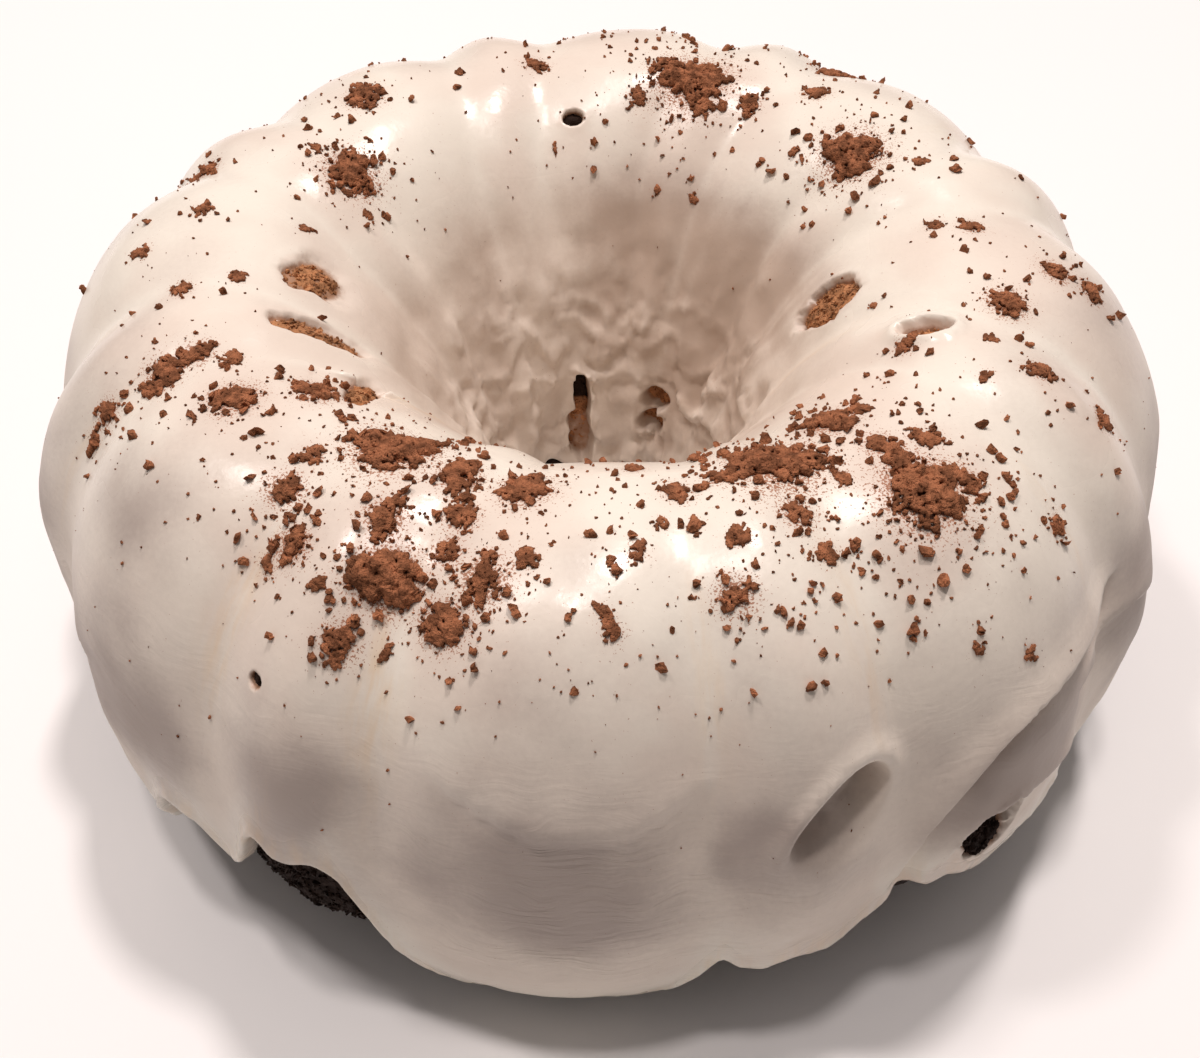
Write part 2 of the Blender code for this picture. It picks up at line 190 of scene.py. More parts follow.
# Smaller ones: azimuth, station in millimetres, size in millimetres.
SMALL_CLUMPS = (
    (-20, 6, 7), (-10.5, 6, 8), (39, 12, 8), (-12, -13, 7.5), (-15, -21, 7), (-38, -10, 6), (-54, -4, 7.5),
    (76, -4, 6.5), (-135, -1, 7), (143, -20, 8), (5, 15, 4), (10, 5, 5), (16, 6, 4.5), (39, 0, 5.5),
    (42, -13, 5.5), (23, -5, 5.5), (13, -16, 5.5), (-8, -9, 4), (-17, -9, 5), (-17, -2, 5.5), (-25, -7, 6),
    (-24, -28, 5.5), (-39, -2, 4), (-33, -17, 6), (-50, 9, 6), (-168, 1, 5), (-110, -17, 5.5), (-80, -7, 4.5),
    (149, 9, 5), (158, 13, 5), (172, 13, 4.5), (139, 0, 5), (94, 0, 4.5), (85, -14, 5.5), (84, -22, 5),
    (65, -27, 4.5), (64, -12, 4.5), (-66, -6, 5.5), (-65, -13, 6.5), (-66, -26, 5), (-65, -32, 4),
    (24, -13, 4), (15, -7, 3.5), (11, -3, 3), (7, -2, 3), (4, -7, 3.5), (1, -20, 3.5), (0, -17, 3),
    (-20, -28, 2.5), (-35, -22, 4), (-63, 0, 3.5), (59, -4, 3), (44, 10, 3.5), (49, -29, 3.5), (34, -36, 2),
    (39, -42, 2.2), (-119, 4, 3), (-99, 14, 3), (-113, 22, 2.5), (-114, 16, 2.5), (-168, 25, 2), (-81, 4, 3),
    (96, 7, 3.5), (80, 22, 2), (133, 17, 2.5), (153, 34, 2.2), (164, 34, 2.2), (112, 2, 3), (67, -2, 2.5),
    (-96, -6, 3.5), (-89, -16, 3.5), (-137, -6, 3), (63, 12, 4), (31, -2, 4), (44, -4, 4.5), (-28, -21, 3),
)
CLUMP_SEED = 7
LUMP_RATE = 6.4

MM = 0.001

# The floor's half width and its drop below the cake, and the share of its light that reaches the cake,
# as if it were greyer.
FLOOR_HALF, FLOOR_DROP, FLOOR_BOUNCE = 4.0, 0.0002, 0.9
# How far to the side the camera looks.
TARGET_SIDE = -0.0003
LAMP_COLOR = (1.0, 0.905, 0.875)
# Lamps overhead: name, place, width and share of the brightest lamp's power.
LAMPS = (
    ("lamp_key", (0.28, 0.66, 2.12), 0.24, 0.95),
    ("lamp_crest", (-0.12, 0.02, 2.20), 0.20, 0.46),
    ("lamp_side", (-0.85, 0.25, 2.00), 0.28, 0.50),
)


def tint(name, description, default):
    """A colour that the user can change."""
    return FloatVectorProperty(
        name=name, description=description, default=default, size=3, min=0.0, max=1.0, subtype="COLOR")


def length(name, description, default, low, high):
    """A length in metres that the user can change."""
    return FloatProperty(
        name=name, description=description, default=default, min=low, max=high, unit="LENGTH")


class CakeSizes(bpy.types.PropertyGroup):
    """Sizes of the ring and its coat."""

    girth_radius: length("Girth Radius", "Widest radius of the mean icing surface", 0.118, 0.05, 0.3)
    girth_height: length("Girth Height", "Height of the widest part", 0.0285, 0.01, 0.1)
    foot_radius: length("Foot Radius", "Radius where the section would reach the ground", 0.1055, 0.04, 0.3)
    crest_radius: length("Crest Radius", "Radius of the highest ring", 0.074, 0.03, 0.2)
    crest_height: length("Crest Height", "Height of the highest ring", 0.098, 0.03, 0.2)
    throat_radius: length("Throat Radius", "Narrowest radius of the hole", 0.0232, 0.01, 0.1)
    throat_height: length("Throat Height", "Height where the hole is narrowest", 0.004, 0.0, 0.05)
    outer_power: FloatProperty(
        name="Outer Fullness", description="Superellipse power of the outer quarter",
        default=2.25, min=1.5, max=4.0)
    inner_power: FloatProperty(
        name="Inner Fullness", description="Superellipse power of the inner quarter",
        default=1.9, min=1.2, max=4.0)
    flute_height: length("Flute Height", "Height of the lobes through the icing", 0.0020, 0.0, 0.01)
    icing_depth: length("Icing Depth", "Mean thickness of the icing on the sponge", 0.0034, 0.001, 0.01)
    skirt_depth: length("Skirt Depth", "Thickness of the tongues that hang free", 0.0042, 0.001, 0.01)
    edge_round: length("Edge Rounding", "Radius of the icing's rounded lower edge", 0.0015, 0.0005, 0.004)
    lump_height: length("Lump Height", "Height of the coat's soft unevenness", 0.0005, 0.0, 0.003)


class CakeFinish(bpy.types.PropertyGroup):
    """Colours of the icing and sponge."""

    icing_thick: tint("Thick Icing", "Colour where the icing is thick", (0.91, 0.85, 0.745))
    # The thin icing's tone, which is also the grey that the wall and hole are painted towards as shade.
    icing_thin: tint(
        "Thin Icing", "Colour over the lobes, where the sponge greys the icing",
        (0.84, 0.735, 0.635))
    # Partly the dark sponge showing through thin icing, partly painted shade low on the wall and in the dent.
    icing_sheer: tint(
        "Sheer Icing", "Colour where the dark sponge shows through the icing",
        (0.41, 0.338, 0.300))
    # Painted shade: the darker, warmer tone of the icing inside the centre hole.
    icing_hole_shade: tint(
        "Shaded Hole Icing", "The same in the hole, where the icing is soaked browner",
        (0.49, 0.375, 0.295))
    icing_film: tint(
        "Icing Film", "Colour where only a film of icing covers the sponge",
        (0.42, 0.235, 0.145))
    # This colour also paints a warm glow along the icing's lower edge, standing in for light bounced up from
    # the floor.
    streak: tint("Streak", "Colour of the streaks below the cocoa", (0.83, 0.58, 0.32))
    sponge_dark: tint("Dark Crust", "Colour of the sponge's baked crust", (0.020, 0.011, 0.008))
    sponge_crumb: tint("Open Crumb", "Colour of the crumb in the gaps", (0.30, 0.140, 0.065))
    icing_roughness: FloatProperty(
        name="Icing Roughness", description="Roughness of the icing on the crest",
        default=0.25, min=0.0, max=1.0, subtype="FACTOR")


class CocoaSizes(bpy.types.PropertyGroup):
    """Sizes, amounts and colour of the cocoa."""

    voxel: length("Clump Detail", "Size of the finest lump in a clump", 0.00032, 0.0002, 0.001)
    crumb_smallest: length("Smallest Crumb", "Smallest loose crumb", 0.0005, 0.0002, 0.002)
    crumb_largest: length("Largest Crumb", "Largest loose crumb", 0.0021, 0.0005, 0.006)
    crumb_density: FloatProperty(
        name="Crumb Density", description="Crumbs on each square metre where they lie thickest",
        default=360000.0, min=0.0)
    dust_smallest: length("Smallest Dust", "Smallest grain of dust", 0.00018, 0.0001, 0.001)
    dust_largest: length("Largest Dust", "Largest grain of dust", 0.00072, 0.0002, 0.002)
    dust_density: FloatProperty(
        name="Dust Density", description="Grains on each square metre where they lie thickest",
        default=420000.0, min=0.0)
    seed: IntProperty(name="Seed", description="Seed of the scatter", default=11, min=0)
    color: tint("Cocoa", "Colour of the cocoa", (0.36, 0.143, 0.070))


class StageSizes(bpy.types.PropertyGroup):
    """Floor, lights and camera."""

    floor_color: tint("Floor", "Colour of the floor", (0.94, 0.93, 0.925))
    key_power: FloatProperty(
        name="Key Power", description="Power of the brightest lamp overhead",
        default=24.5, min=0.0, unit="POWER")
    sky_strength: FloatProperty(
        name="Sky Strength", description="Strength of the light from above", default=0.33, min=0.0)
    lens: FloatProperty(name="Lens", description="Focal length in millimetres", default=38.3, min=10.0)
    elevation: FloatProperty(
        name="Camera Elevation", description="How far the camera looks down",
        default=math.radians(47.93), subtype="ANGLE")
    distance: FloatProperty(
        name="Camera Distance", description="From the camera to what it looks at",
        default=0.3132, min=0.05, unit="LENGTH")
    target_height: FloatProperty(
        name="Target Height", description="Height that the camera looks at",
        default=0.0137, unit="LENGTH")


def smooth(low, high, value):
    """A soft step from 0 at low to 1 at high."""
    share = np.clip((value - low) / (high - low), 0.0, 1.0)
    return share * share * (3.0 - 2.0 * share)


def fall(low, high, value):
    """A soft step from 1 at low to 0 at high."""
    return 1.0 - smooth(low, high, value)


def bump(value, width):
    """A bell that is 1 at 0 and dies away past the width."""
    return np.exp(-((value / width) ** 2))


def turn_away(azimuth, centre):
    """Signed degrees from a centre azimuth."""
    return (azimuth - centre + 180.0) % 360.0 - 180.0


def bell(azimuth, centre, half):
    """A bump around the ring, by its centre azimuth and half width."""
    return bump(turn_away(azimuth, centre), half)


def steep_side(x, y):
    """How far a place in the dent lies away from its steep upper left side."""
    return 0.75 * x - 0.66 * y


def around_ring(azimuth):
    """Points of the unit circle, for noise that runs round the ring."""
    angle = np.radians(azimuth)
    return np.stack([np.sin(angle), -np.cos(angle), 0.0 * angle], axis=-1)


def ripple(spots, size, seed=0.0):
    """Smooth noise from -1 to 1 at each spot, with hills about one size apart."""
    shifted = np.asarray(spots) / size + seed * 17.31
    values = [noise.noise(spot) for spot in shifted.reshape(-1, 3).tolist()]
    return np.array(values).reshape(shifted.shape[:-1])


class CakeForm:
    """The mean icing surface, its flutes and everything that is raised or sunk on it."""

    def __init__(self, sizes):
        self.sizes = sizes
        fall = np.linspace(1.0, 0.0, 60)[:-1]
        turn = np.linspace(0.0, math.pi / 2, 240)
        near, far = np.cos(turn).clip(0.0), np.sin(turn)
        wide, crest, throat = sizes.girth_radius, sizes.crest_radius, sizes.throat_radius
        low, top, bottom = sizes.girth_height, sizes.crest_height, sizes.throat_height
        self.radius = np.concatenate([
            wide - (wide - sizes.foot_radius) * fall**2,
            crest + (wide - crest) * near ** (2 / sizes.outer_power),
            crest - (crest - throat) * far[1:] ** (2 / sizes.inner_power),
            [throat],
        ])
        self.height = np.concatenate([
            low * (1.0 - fall),
            low + (top - low) * far ** (2 / sizes.outer_power),
            bottom + (top - bottom) * near[1:] ** (2 / sizes.inner_power),
            [0.0],
        ])
        steps = np.hypot(np.diff(self.radius), np.diff(self.height))
        self.station = np.concatenate([[0.0], np.cumsum(steps)])
        self.station -= self.station[np.argmax(self.height)]
        rise, run = np.gradient(self.height, self.station), np.gradient(self.radius, self.station)
        self.heading = np.unwrap(np.arctan2(rise, run))
        self.shift = np.zeros(3)
        self.shift[:2] = self.centring()

    def centring(self):
        """How far the ring moves sideways so that it stands centred as the solid icing does."""
        around = np.arange(0.0, 360.0, 0.25)
        girth = 0.0 * around + GIRTH_STATION
        spots = self.place(around, girth, self.sizes.flute_height * self.flute(around, girth))
        low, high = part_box("icing")
        own = (spots.min(axis=0) + spots.max(axis=0)) / 2
        return [(low[axis] + high[axis]) / 2 - own[axis] for axis in (0, 1)]

    def radius_at(self, station):
        return np.interp(station, self.station, self.radius)

    def place(self, azimuth, station, lift):
        """World positions of points raised from the mean surface along its normal."""
        heading = np.interp(station, self.station, self.heading)
        radius = self.radius_at(station) + lift * np.sin(heading)
        height = np.interp(station, self.station, self.height) - lift * np.cos(heading)
        return self.ring_point(azimuth, radius, height)

    def ring_point(self, azimuth, radius, height):
        angle = np.radians(azimuth)
        spot = [radius * np.sin(angle), -radius * np.cos(angle), height + 0.0 * angle]
        return np.stack(spot, axis=-1) + self.shift

    def lean(self, station):
        """Sideways swing of the flutes, in degrees, from the outer wall to the hole."""
        return INNER_LEAN * smooth(LEAN_FROM, LEAN_TO, station)

    def flute(self, azimuth, station):
        """Lobe height from +1 on a ridge to -1 in a crease, faded along the section."""
        across = (azimuth - self.lean(station) - NARROW_CENTRE) % SECTOR
        from_narrow = np.minimum(across, SECTOR - across) / (NARROW_WIDTH / 2)
        from_wide = np.abs(across - SECTOR / 2) / ((SECTOR - NARROW_WIDTH) / 2)
        narrow = 1.0 - 2.0 * np.minimum(from_narrow, 1.0) ** NARROW_POWER
        wide = 1.0 - 2.0 * np.minimum(from_wide, 1.0) ** WIDE_POWER
        strength = np.interp(station, FLUTE_STATIONS, FLUTE_STRENGTH)
        return np.where(from_narrow < 1.0, narrow, wide) * strength

    def soft_flute(self, azimuth, station):
        """The same lobes with their creases half filled by icing."""
        offsets = ((-2.4, 0.12), (-1.2, 0.22), (0.0, 0.32), (1.2, 0.22), (2.4, 0.12))
        return sum(weight * self.flute(azimuth + offset, station) for offset, weight in offsets)

    def edge(self, azimuth):
        """Where the icing's lower edge runs."""
        drop = sum(
            length * np.exp(-((turn_away(azimuth, centre) / half) ** 4))
            for centre, half, length in TONGUES
        )
        drop += sum(
            length * bell(azimuth, centre, half) for centre, half, length in EDGE_NICKS
        )
        angle = np.radians(azimuth)
        ring = around_ring(azimuth) * EDGE_RADIUS
        drop += 0.0006 * ripple(ring, 0.0045, 1.0) + 0.0007 * ripple(ring, 0.012, 2.0)
        drop += 0.0012 * ripple(ring, 0.0028, 12.0) * smooth(-0.6, 0.6, ripple(ring, 0.020, 35.0))
        drop += 0.0012 * ripple(ring, 0.0075, 36.0)
        return np.maximum(EDGE_STATION - drop, LOWEST_STATION - 0.0004 * np.sin(7.0 * angle))

    def throat_end(self, azimuth):
        """Where the icing ends deep in the hole."""
        angle = np.radians(azimuth)
        wave = np.sin(3.0 * angle + 0.6) * np.cos(5.0 * angle) + 0.4 * np.sin(13.0 * angle)
        return THROAT_END + THROAT_WAVE * wave

    def sponge_lift(self, azimuth, station):
        """The sponge's surface under the icing, turned inwards below its rim."""
        below = np.clip((RIM_STATION - station) / RIM_TURN_LENGTH, 0.0, 2.0)
        lift = SPONGE_FLUTE * self.flute(azimuth, station) - self.sizes.icing_depth
        lift = lift - RIM_TURN_DEPTH * below**2
        for row in SPONGE_HOLLOWS:
            lift = lift - row.depth * fall(-0.0060, 0.0020, self.oval(azimuth, station, row)[0])
        for row in GAPS:
            if row.swell:
                swell = fall(-0.0015, 0.0030, self.oval(azimuth, station, row)[0])
                lift = lift + row.swell * swell
        return lift

    def oval(self, azimuth, station, row):
        """Distance outside an oval's rim, negative within it, and the place across and along it."""
        centre, middle, width, length, slant = row[:5]
        across = np.radians(turn_away(azimuth, centre)) * self.radius_at(middle)
        along = station - middle
        turned = math.radians(slant)
        x = (across * math.cos(turned) + along * math.sin(turned)) / (width / 2)
        y = (along * math.cos(turned) - across * math.sin(turned)) / (length / 2)
        reach = np.hypot(x, y).clip(1e-4)
        slope = np.hypot(x / (width / 2), y / (length / 2)) / reach
        return (reach - 1.0) / slope.clip(1e-4), x, y

    def dent(self, azimuth, station):
        """Depth of the dent from 0 to 1, steep at its upper left, open below, and its raised lip."""
        _, x, y = self.oval(azimuth, station, DENT)
        reach = np.hypot(x, y)
        side = steep_side(x, y) / reach.clip(1e-3)
        within = smooth(0.0, 1.0, (1.0 - reach) / (0.22 + 0.95 * smooth(-0.25, 0.95, side)))
        within = within * smooth(-1.15, -0.25, y)
        lip = bump(reach - 1.12, 0.17) * fall(-0.35, 0.45, side)
        return within, lip

    def above_fold(self, azimuth, station, points):
        """How far above a fold's line each point lies, and how strong the fold is there."""
        turns = np.array([point[0] for point in points], dtype=float)
        levels = np.array([point[1] for point in points])
        away = turn_away(azimuth, turns.mean()) + turns.mean()
        slope = np.gradient(levels, np.radians(turns) * WALL_RADIUS)
        steep = np.sqrt(1.0 + np.interp(away, turns, slope) ** 2)
        above = (station - np.interp(away, turns, levels)) / steep
        fade = smooth(turns[0] - 1.0, turns[0] + 2.5, away)
        return above, fade * fall(turns[-1] - 4.0, turns[-1] + 2.0, away)

    def near_a_fold(self, azimuth, station, reach, count):
        """Whether each point lies near the step of one of the first few folds."""
        near = azimuth < NOWHERE
        for points, _, _, _ in FOLDS[:count]:
            above, fade = self.above_fold(azimuth, station, points)
            near |= (np.abs(above + 0.0004) < reach) & (fade > 0.1)
        return near

    def folds(self, azimuth, station):
        """Height of the slumped folds, each a ridge with a step below it."""
        total = 0.0 * azimuth * station
        for points, ridge, drop, reach in FOLDS:
            above, fade = self.above_fold(azimuth, station, points)
            up = ridge * np.where(above > 0, bump(above, 0.0036), smooth(-0.0010, 0.0, above))
            down = drop * fall(-0.0012, 0.0001, above) * bump(np.minimum(above, 0.0), reach)
            total = total + fade * (up - down)
        return total

    def ledges(self, station, spots):
        """Height of the ledges in the hole: wandering runs that swell downwards and end sharply."""
        total = 0.0 * station
        for pitch, height, start, phase in LEDGES:
            warp = 0.9 * ripple(spots, 0.95 * pitch, 14.0 + phase)
            warp = warp + 0.35 * ripple(spots, 0.45 * pitch, 15.0)
            turn = (station / pitch + warp + phase) % 1.0
            shape = turn**1.5 * fall(0.78, 1.0, turn)
            patchy = 0.35 + 0.65 * smooth(-0.35, 0.45, ripple(spots, 1.3 * pitch, 16.0 + phase))
            total = total + height * shape * patchy * smooth(start, start + 0.013, station)
        return total

    def gaps(self, azimuth, station, spots):
        """How far open the icing is, from 0 to 1, and its raised lips."""
        opening, lips = 0.0 * azimuth * station, 0.0 * azimuth * station
        uneven = 0.0008 * ripple(spots, 0.0035, 3.0) + 0.0005 * ripple(spots, 0.0016, 13.0)
        for row in GAPS:
            distance, _, y = self.oval(azimuth, station, row)
            size = min(row.width, row.length)
            distance = distance + uneven * min(2.2, size / 0.006)
            reach = 0.0010 * min(1.0, size / 0.004) + row.fade * smooth(-0.4, 0.9, y)
            share = row.share + (0.16 * ripple(spots, 0.0021, 18.0) if row.share < 0.9 else 0.0)
            opening = np.maximum(opening, share * fall(-0.35 * reach, reach, distance))
            lips = np.maximum(lips, row.lip * bump(distance - 1.5 * reach, 0.0013))
        return opening, lips

    def icing_lift(self, azimuth, station, edge, end):
        """The outer face of the icing."""
        sizes = self.sizes
        spots = self.place(azimuth, station, 0.0)
        angle = np.radians(azimuth)
        lump = np.interp(station, (0.040, 0.080), (sizes.lump_height, 2.0 * sizes.lump_height))
        wave = np.sin(3.0 * angle + 1.1 + station / 0.021) + 0.8 * np.sin(7.0 * angle - station / 0.013)
        lift = sizes.flute_height * self.soft_flute(azimuth, station) + lump * wave
        lift = lift + 0.00030 * ripple(spots, 0.022, 4.0) + 0.00012 * ripple(spots, 0.0075, 5.0)
        ring = around_ring(azimuth)
        fine = ring * 7.0 + np.stack([0 * station, 0 * station, station / 0.050], axis=-1)
        broad = ring * 3.4 + np.stack([0 * station, 0 * station, station / 0.060], axis=-1)
        inside = smooth(0.016, 0.060, station)
        runs = inside * (0.00050 * ripple(fine, 1.0, 6.0) + 0.00085 * ripple(broad, 1.0, 7.0))
        runs = runs + smooth(0.026, 0.048, station) * 0.00075 * ripple(spots, 0.0078, 33.0)
        pimples = np.maximum(ripple(spots, 0.0042, 10.0) - 0.15, 0.0)
        lift = lift + runs + 0.0009 * smooth(0.030, 0.055, station) * pimples
        wall = smooth(-0.100, -0.080, station) * fall(-0.030, -0.008, station)
        lobes = 0.0006 * self.soft_flute(azimuth, station)
        lift = lift + wall * (lobes + 0.0005 * ripple(spots, 0.017, 34.0))
        low_wall = smooth(-0.045, -0.085, station)
        lift = lift + low_wall * (0.00030 * ripple(spots, 0.006, 8.0) + 0.0004 * ripple(spots, 0.013, 9.0))
        lift = lift + self.folds(azimuth, station) + self.ledges(station, spots)
        sunk, lip = self.dent(azimuth, station)
        lift = lift - DENT.depth * sunk + DENT.lip * lip
        opening, lips = self.gaps(azimuth, station, spots)
        bare = self.sponge_lift(azimuth, station) - 0.0010
        lift = lift + lips * (1.0 - opening)
        lift = lift + opening * (bare - lift)
        ragged = 0.00035 * ripple(spots, 0.0019, 11.0) * bump(station - edge, 0.0030)
        lift = lift + ragged
        for rise in (station - edge, end - station):
            bead = 0.0005 * bump(rise - 0.0024, 0.0015)
            lift = lift + bead - self.rounding(rise)
        return lift, opening

    def rounding(self, rise):
        """How far a face of the icing falls back this near to its end."""
        reach = self.sizes.edge_round
        return reach - np.sqrt(reach**2 - np.clip(reach - rise, 0.0, reach) ** 2)

    def icing_under(self, azimuth, station, edge, end, top):
        """The inner face of the icing: sunk in the sponge, or hanging free below its rim."""
        under = np.maximum(
            self.sponge_lift(azimuth, station) - 0.0020, top - self.sizes.skirt_depth)
        under = np.minimum(under, top - 0.0005)
        for rise in (station - edge, end - station):
            under = under + 0.8 * self.rounding(rise)
        return np.minimum(under, top - 0.0004)


# ---------------------------------------------------------------- meshes

def column_azimuths():
    """Azimuths of the mesh columns, closer together towards the front; the last repeats the first."""
    fine = np.arange(-180.0, 180.01, 0.05)
    away = np.abs(fine)
    spacing = np.interp(away, (58, 66, 100, 112, 180), (0.50, 0.74, 0.78, 1.02, 1.02))
    measure = np.concatenate([[0.0], np.cumsum(0.05 / spacing[:-1])])
    count = int(round(measure[-1]))
    turns = np.interp(np.linspace(0.0, measure[-1], count + 1), measure, fine)
    return turns


EDGE_RISES = (0.0, 0.0002, 0.00045, 0.0008, 0.0012, 0.0017, 0.0023, 0.0031, 0.0041, 0.0054, 0.0070)
END_RISES = (0.0060, 0.0044, 0.0031, 0.0022, 0.0015, 0.0009, 0.0004, 0.0)
BODY_FROM, BODY_TO = -0.0620, 0.0860
WALL_ROWS, BODY_ROWS, THROAT_ROWS, UNDER_ROWS = 31, 93, 7, 6
TURN_WEIGHT = 0.020
NOSE = 0.0008
# Sides run from 0 on the outer face to 1 on the inner one; below this a face is an outer one.
OUTER_SIDE = 0.1
# An azimuth that no point has, to start an empty choice.
NOWHERE = -1e9
# Gaps narrower than this get a finer rim, and the dent's rim is refined this many reaches wide.
SMALL_GAP = 0.004
DENT_RIM = 92.0
# The sponge's section: where it starts and ends, and its rows beneath, marked by a station of their own.
SPONGE_FROM, SPONGE_TO = -0.1190, 0.1180
BENEATH_ROWS, BENEATH_FROM, BENEATH_STEP = 12, 0.2, 0.001


def strip_mesh(name, rows_by_column, sides, closed):
    """A flat strip of quads whose vertices hold azimuth, station and side, still to be bent round."""
    columns, rows = rows_by_column.shape[:2]
    mesh = bpy.data.meshes.new(name)
    third = np.broadcast_to(sides, (columns, rows))[..., None]
    coordinates = np.concatenate([rows_by_column, third], axis=2)
    index = np.arange(columns * rows).reshape(columns, rows)
    above = np.roll(index, -1, axis=1)
    stop = rows if closed else rows - 1
    quads = np.stack([index[:-1, :stop], index[1:, :stop], above[1:, :stop], above[:-1, :stop]], axis=-1)
    mesh.from_pydata(coordinates.reshape(-1, 3).tolist(), [], quads.reshape(-1, 4).tolist())
    return mesh


def refine(mesh, chooser, times):
    """Halve the edges of the faces that the chooser picks by where their middles lie."""
    shape = bmesh.new()
    shape.from_mesh(mesh)
    for _ in range(times):
        middles = np.array([face.calc_center_median()[:] for face in shape.faces])
        chosen = chooser(middles[:, 0], middles[:, 1], middles[:, 2])
        shape.faces.ensure_lookup_table()
        edges = {edge for number in np.nonzero(chosen)[0] for edge in shape.faces[int(number)].edges}
        bmesh.ops.subdivide_edges(shape, edges=list(edges), cuts=1, use_grid_fill=True)
    shape.to_mesh(mesh)
    shape.free()


def coordinates_of(mesh):
    """The vertices' coordinates as rows of three."""
    flat = np.empty(len(mesh.vertices) * 3, dtype=np.float32)
    mesh.vertices.foreach_get("co", flat)
    return flat.reshape(-1, 3).astype(float)


def bend_round(mesh, spots, seam=1e-6):
    """Move the vertices to their places, close the seam and turn every face outwards."""
    mesh.vertices.foreach_set("co", spots.astype(np.float32).ravel())
    shape = bmesh.new()
    shape.from_mesh(mesh)
    bmesh.ops.remove_doubles(shape, verts=shape.verts, dist=seam)
    bmesh.ops.triangulate(shape, faces=shape.faces)
    bmesh.ops.recalc_face_normals(shape, faces=shape.faces)
    shape.to_mesh(mesh)
    shape.free()
    mesh.shade_smooth()
    mesh.update()


def mark(mesh, **layers):
    """Keep numbers for each vertex by name, for the materials and the scatter."""
    for name, values in layers.items():
        layer = mesh.attributes.new(name, "FLOAT", "POINT")
        layer.data.foreach_set("value", np.asarray(values, dtype=np.float32))


def lay_map(mesh, name, across, along):
    """A UV map of distances around and along the section."""
    layer = mesh.uv_layers.new(name=name)
    corners = np.empty(len(mesh.loops), dtype=np.int32)
    mesh.loops.foreach_get("vertex_index", corners)
    pairs = np.stack([across[corners], along[corners]], axis=-1)
    layer.data.foreach_set("uv", pairs.astype(np.float32).ravel())


def show(name, mesh):
    """Link a mesh as an object at the origin."""
    item = bpy.data.objects.new(name, mesh)
    bpy.context.scene.collection.objects.link(item)
    return item


def near_clumps(form, azimuth, station, spread):
    """How close each point is to the clumps, from 0 to 1."""
    total = 0.0 * azimuth
    large = [(turn, middle, (width + length) / 2) for turn, middle, width, length, *_ in LARGE_CLUMPS]
    for centre, middle, size in large + list(SMALL_CLUMPS):
        across = np.radians(turn_away(azimuth, centre)) * form.radius_at(middle * MM)
        away = np.hypot(across, station - middle * MM)
        reach = size * MM * spread
        total = np.maximum(total, min(1.0, size / 6.0) * np.exp(-((away / reach) ** 2)))
    return total


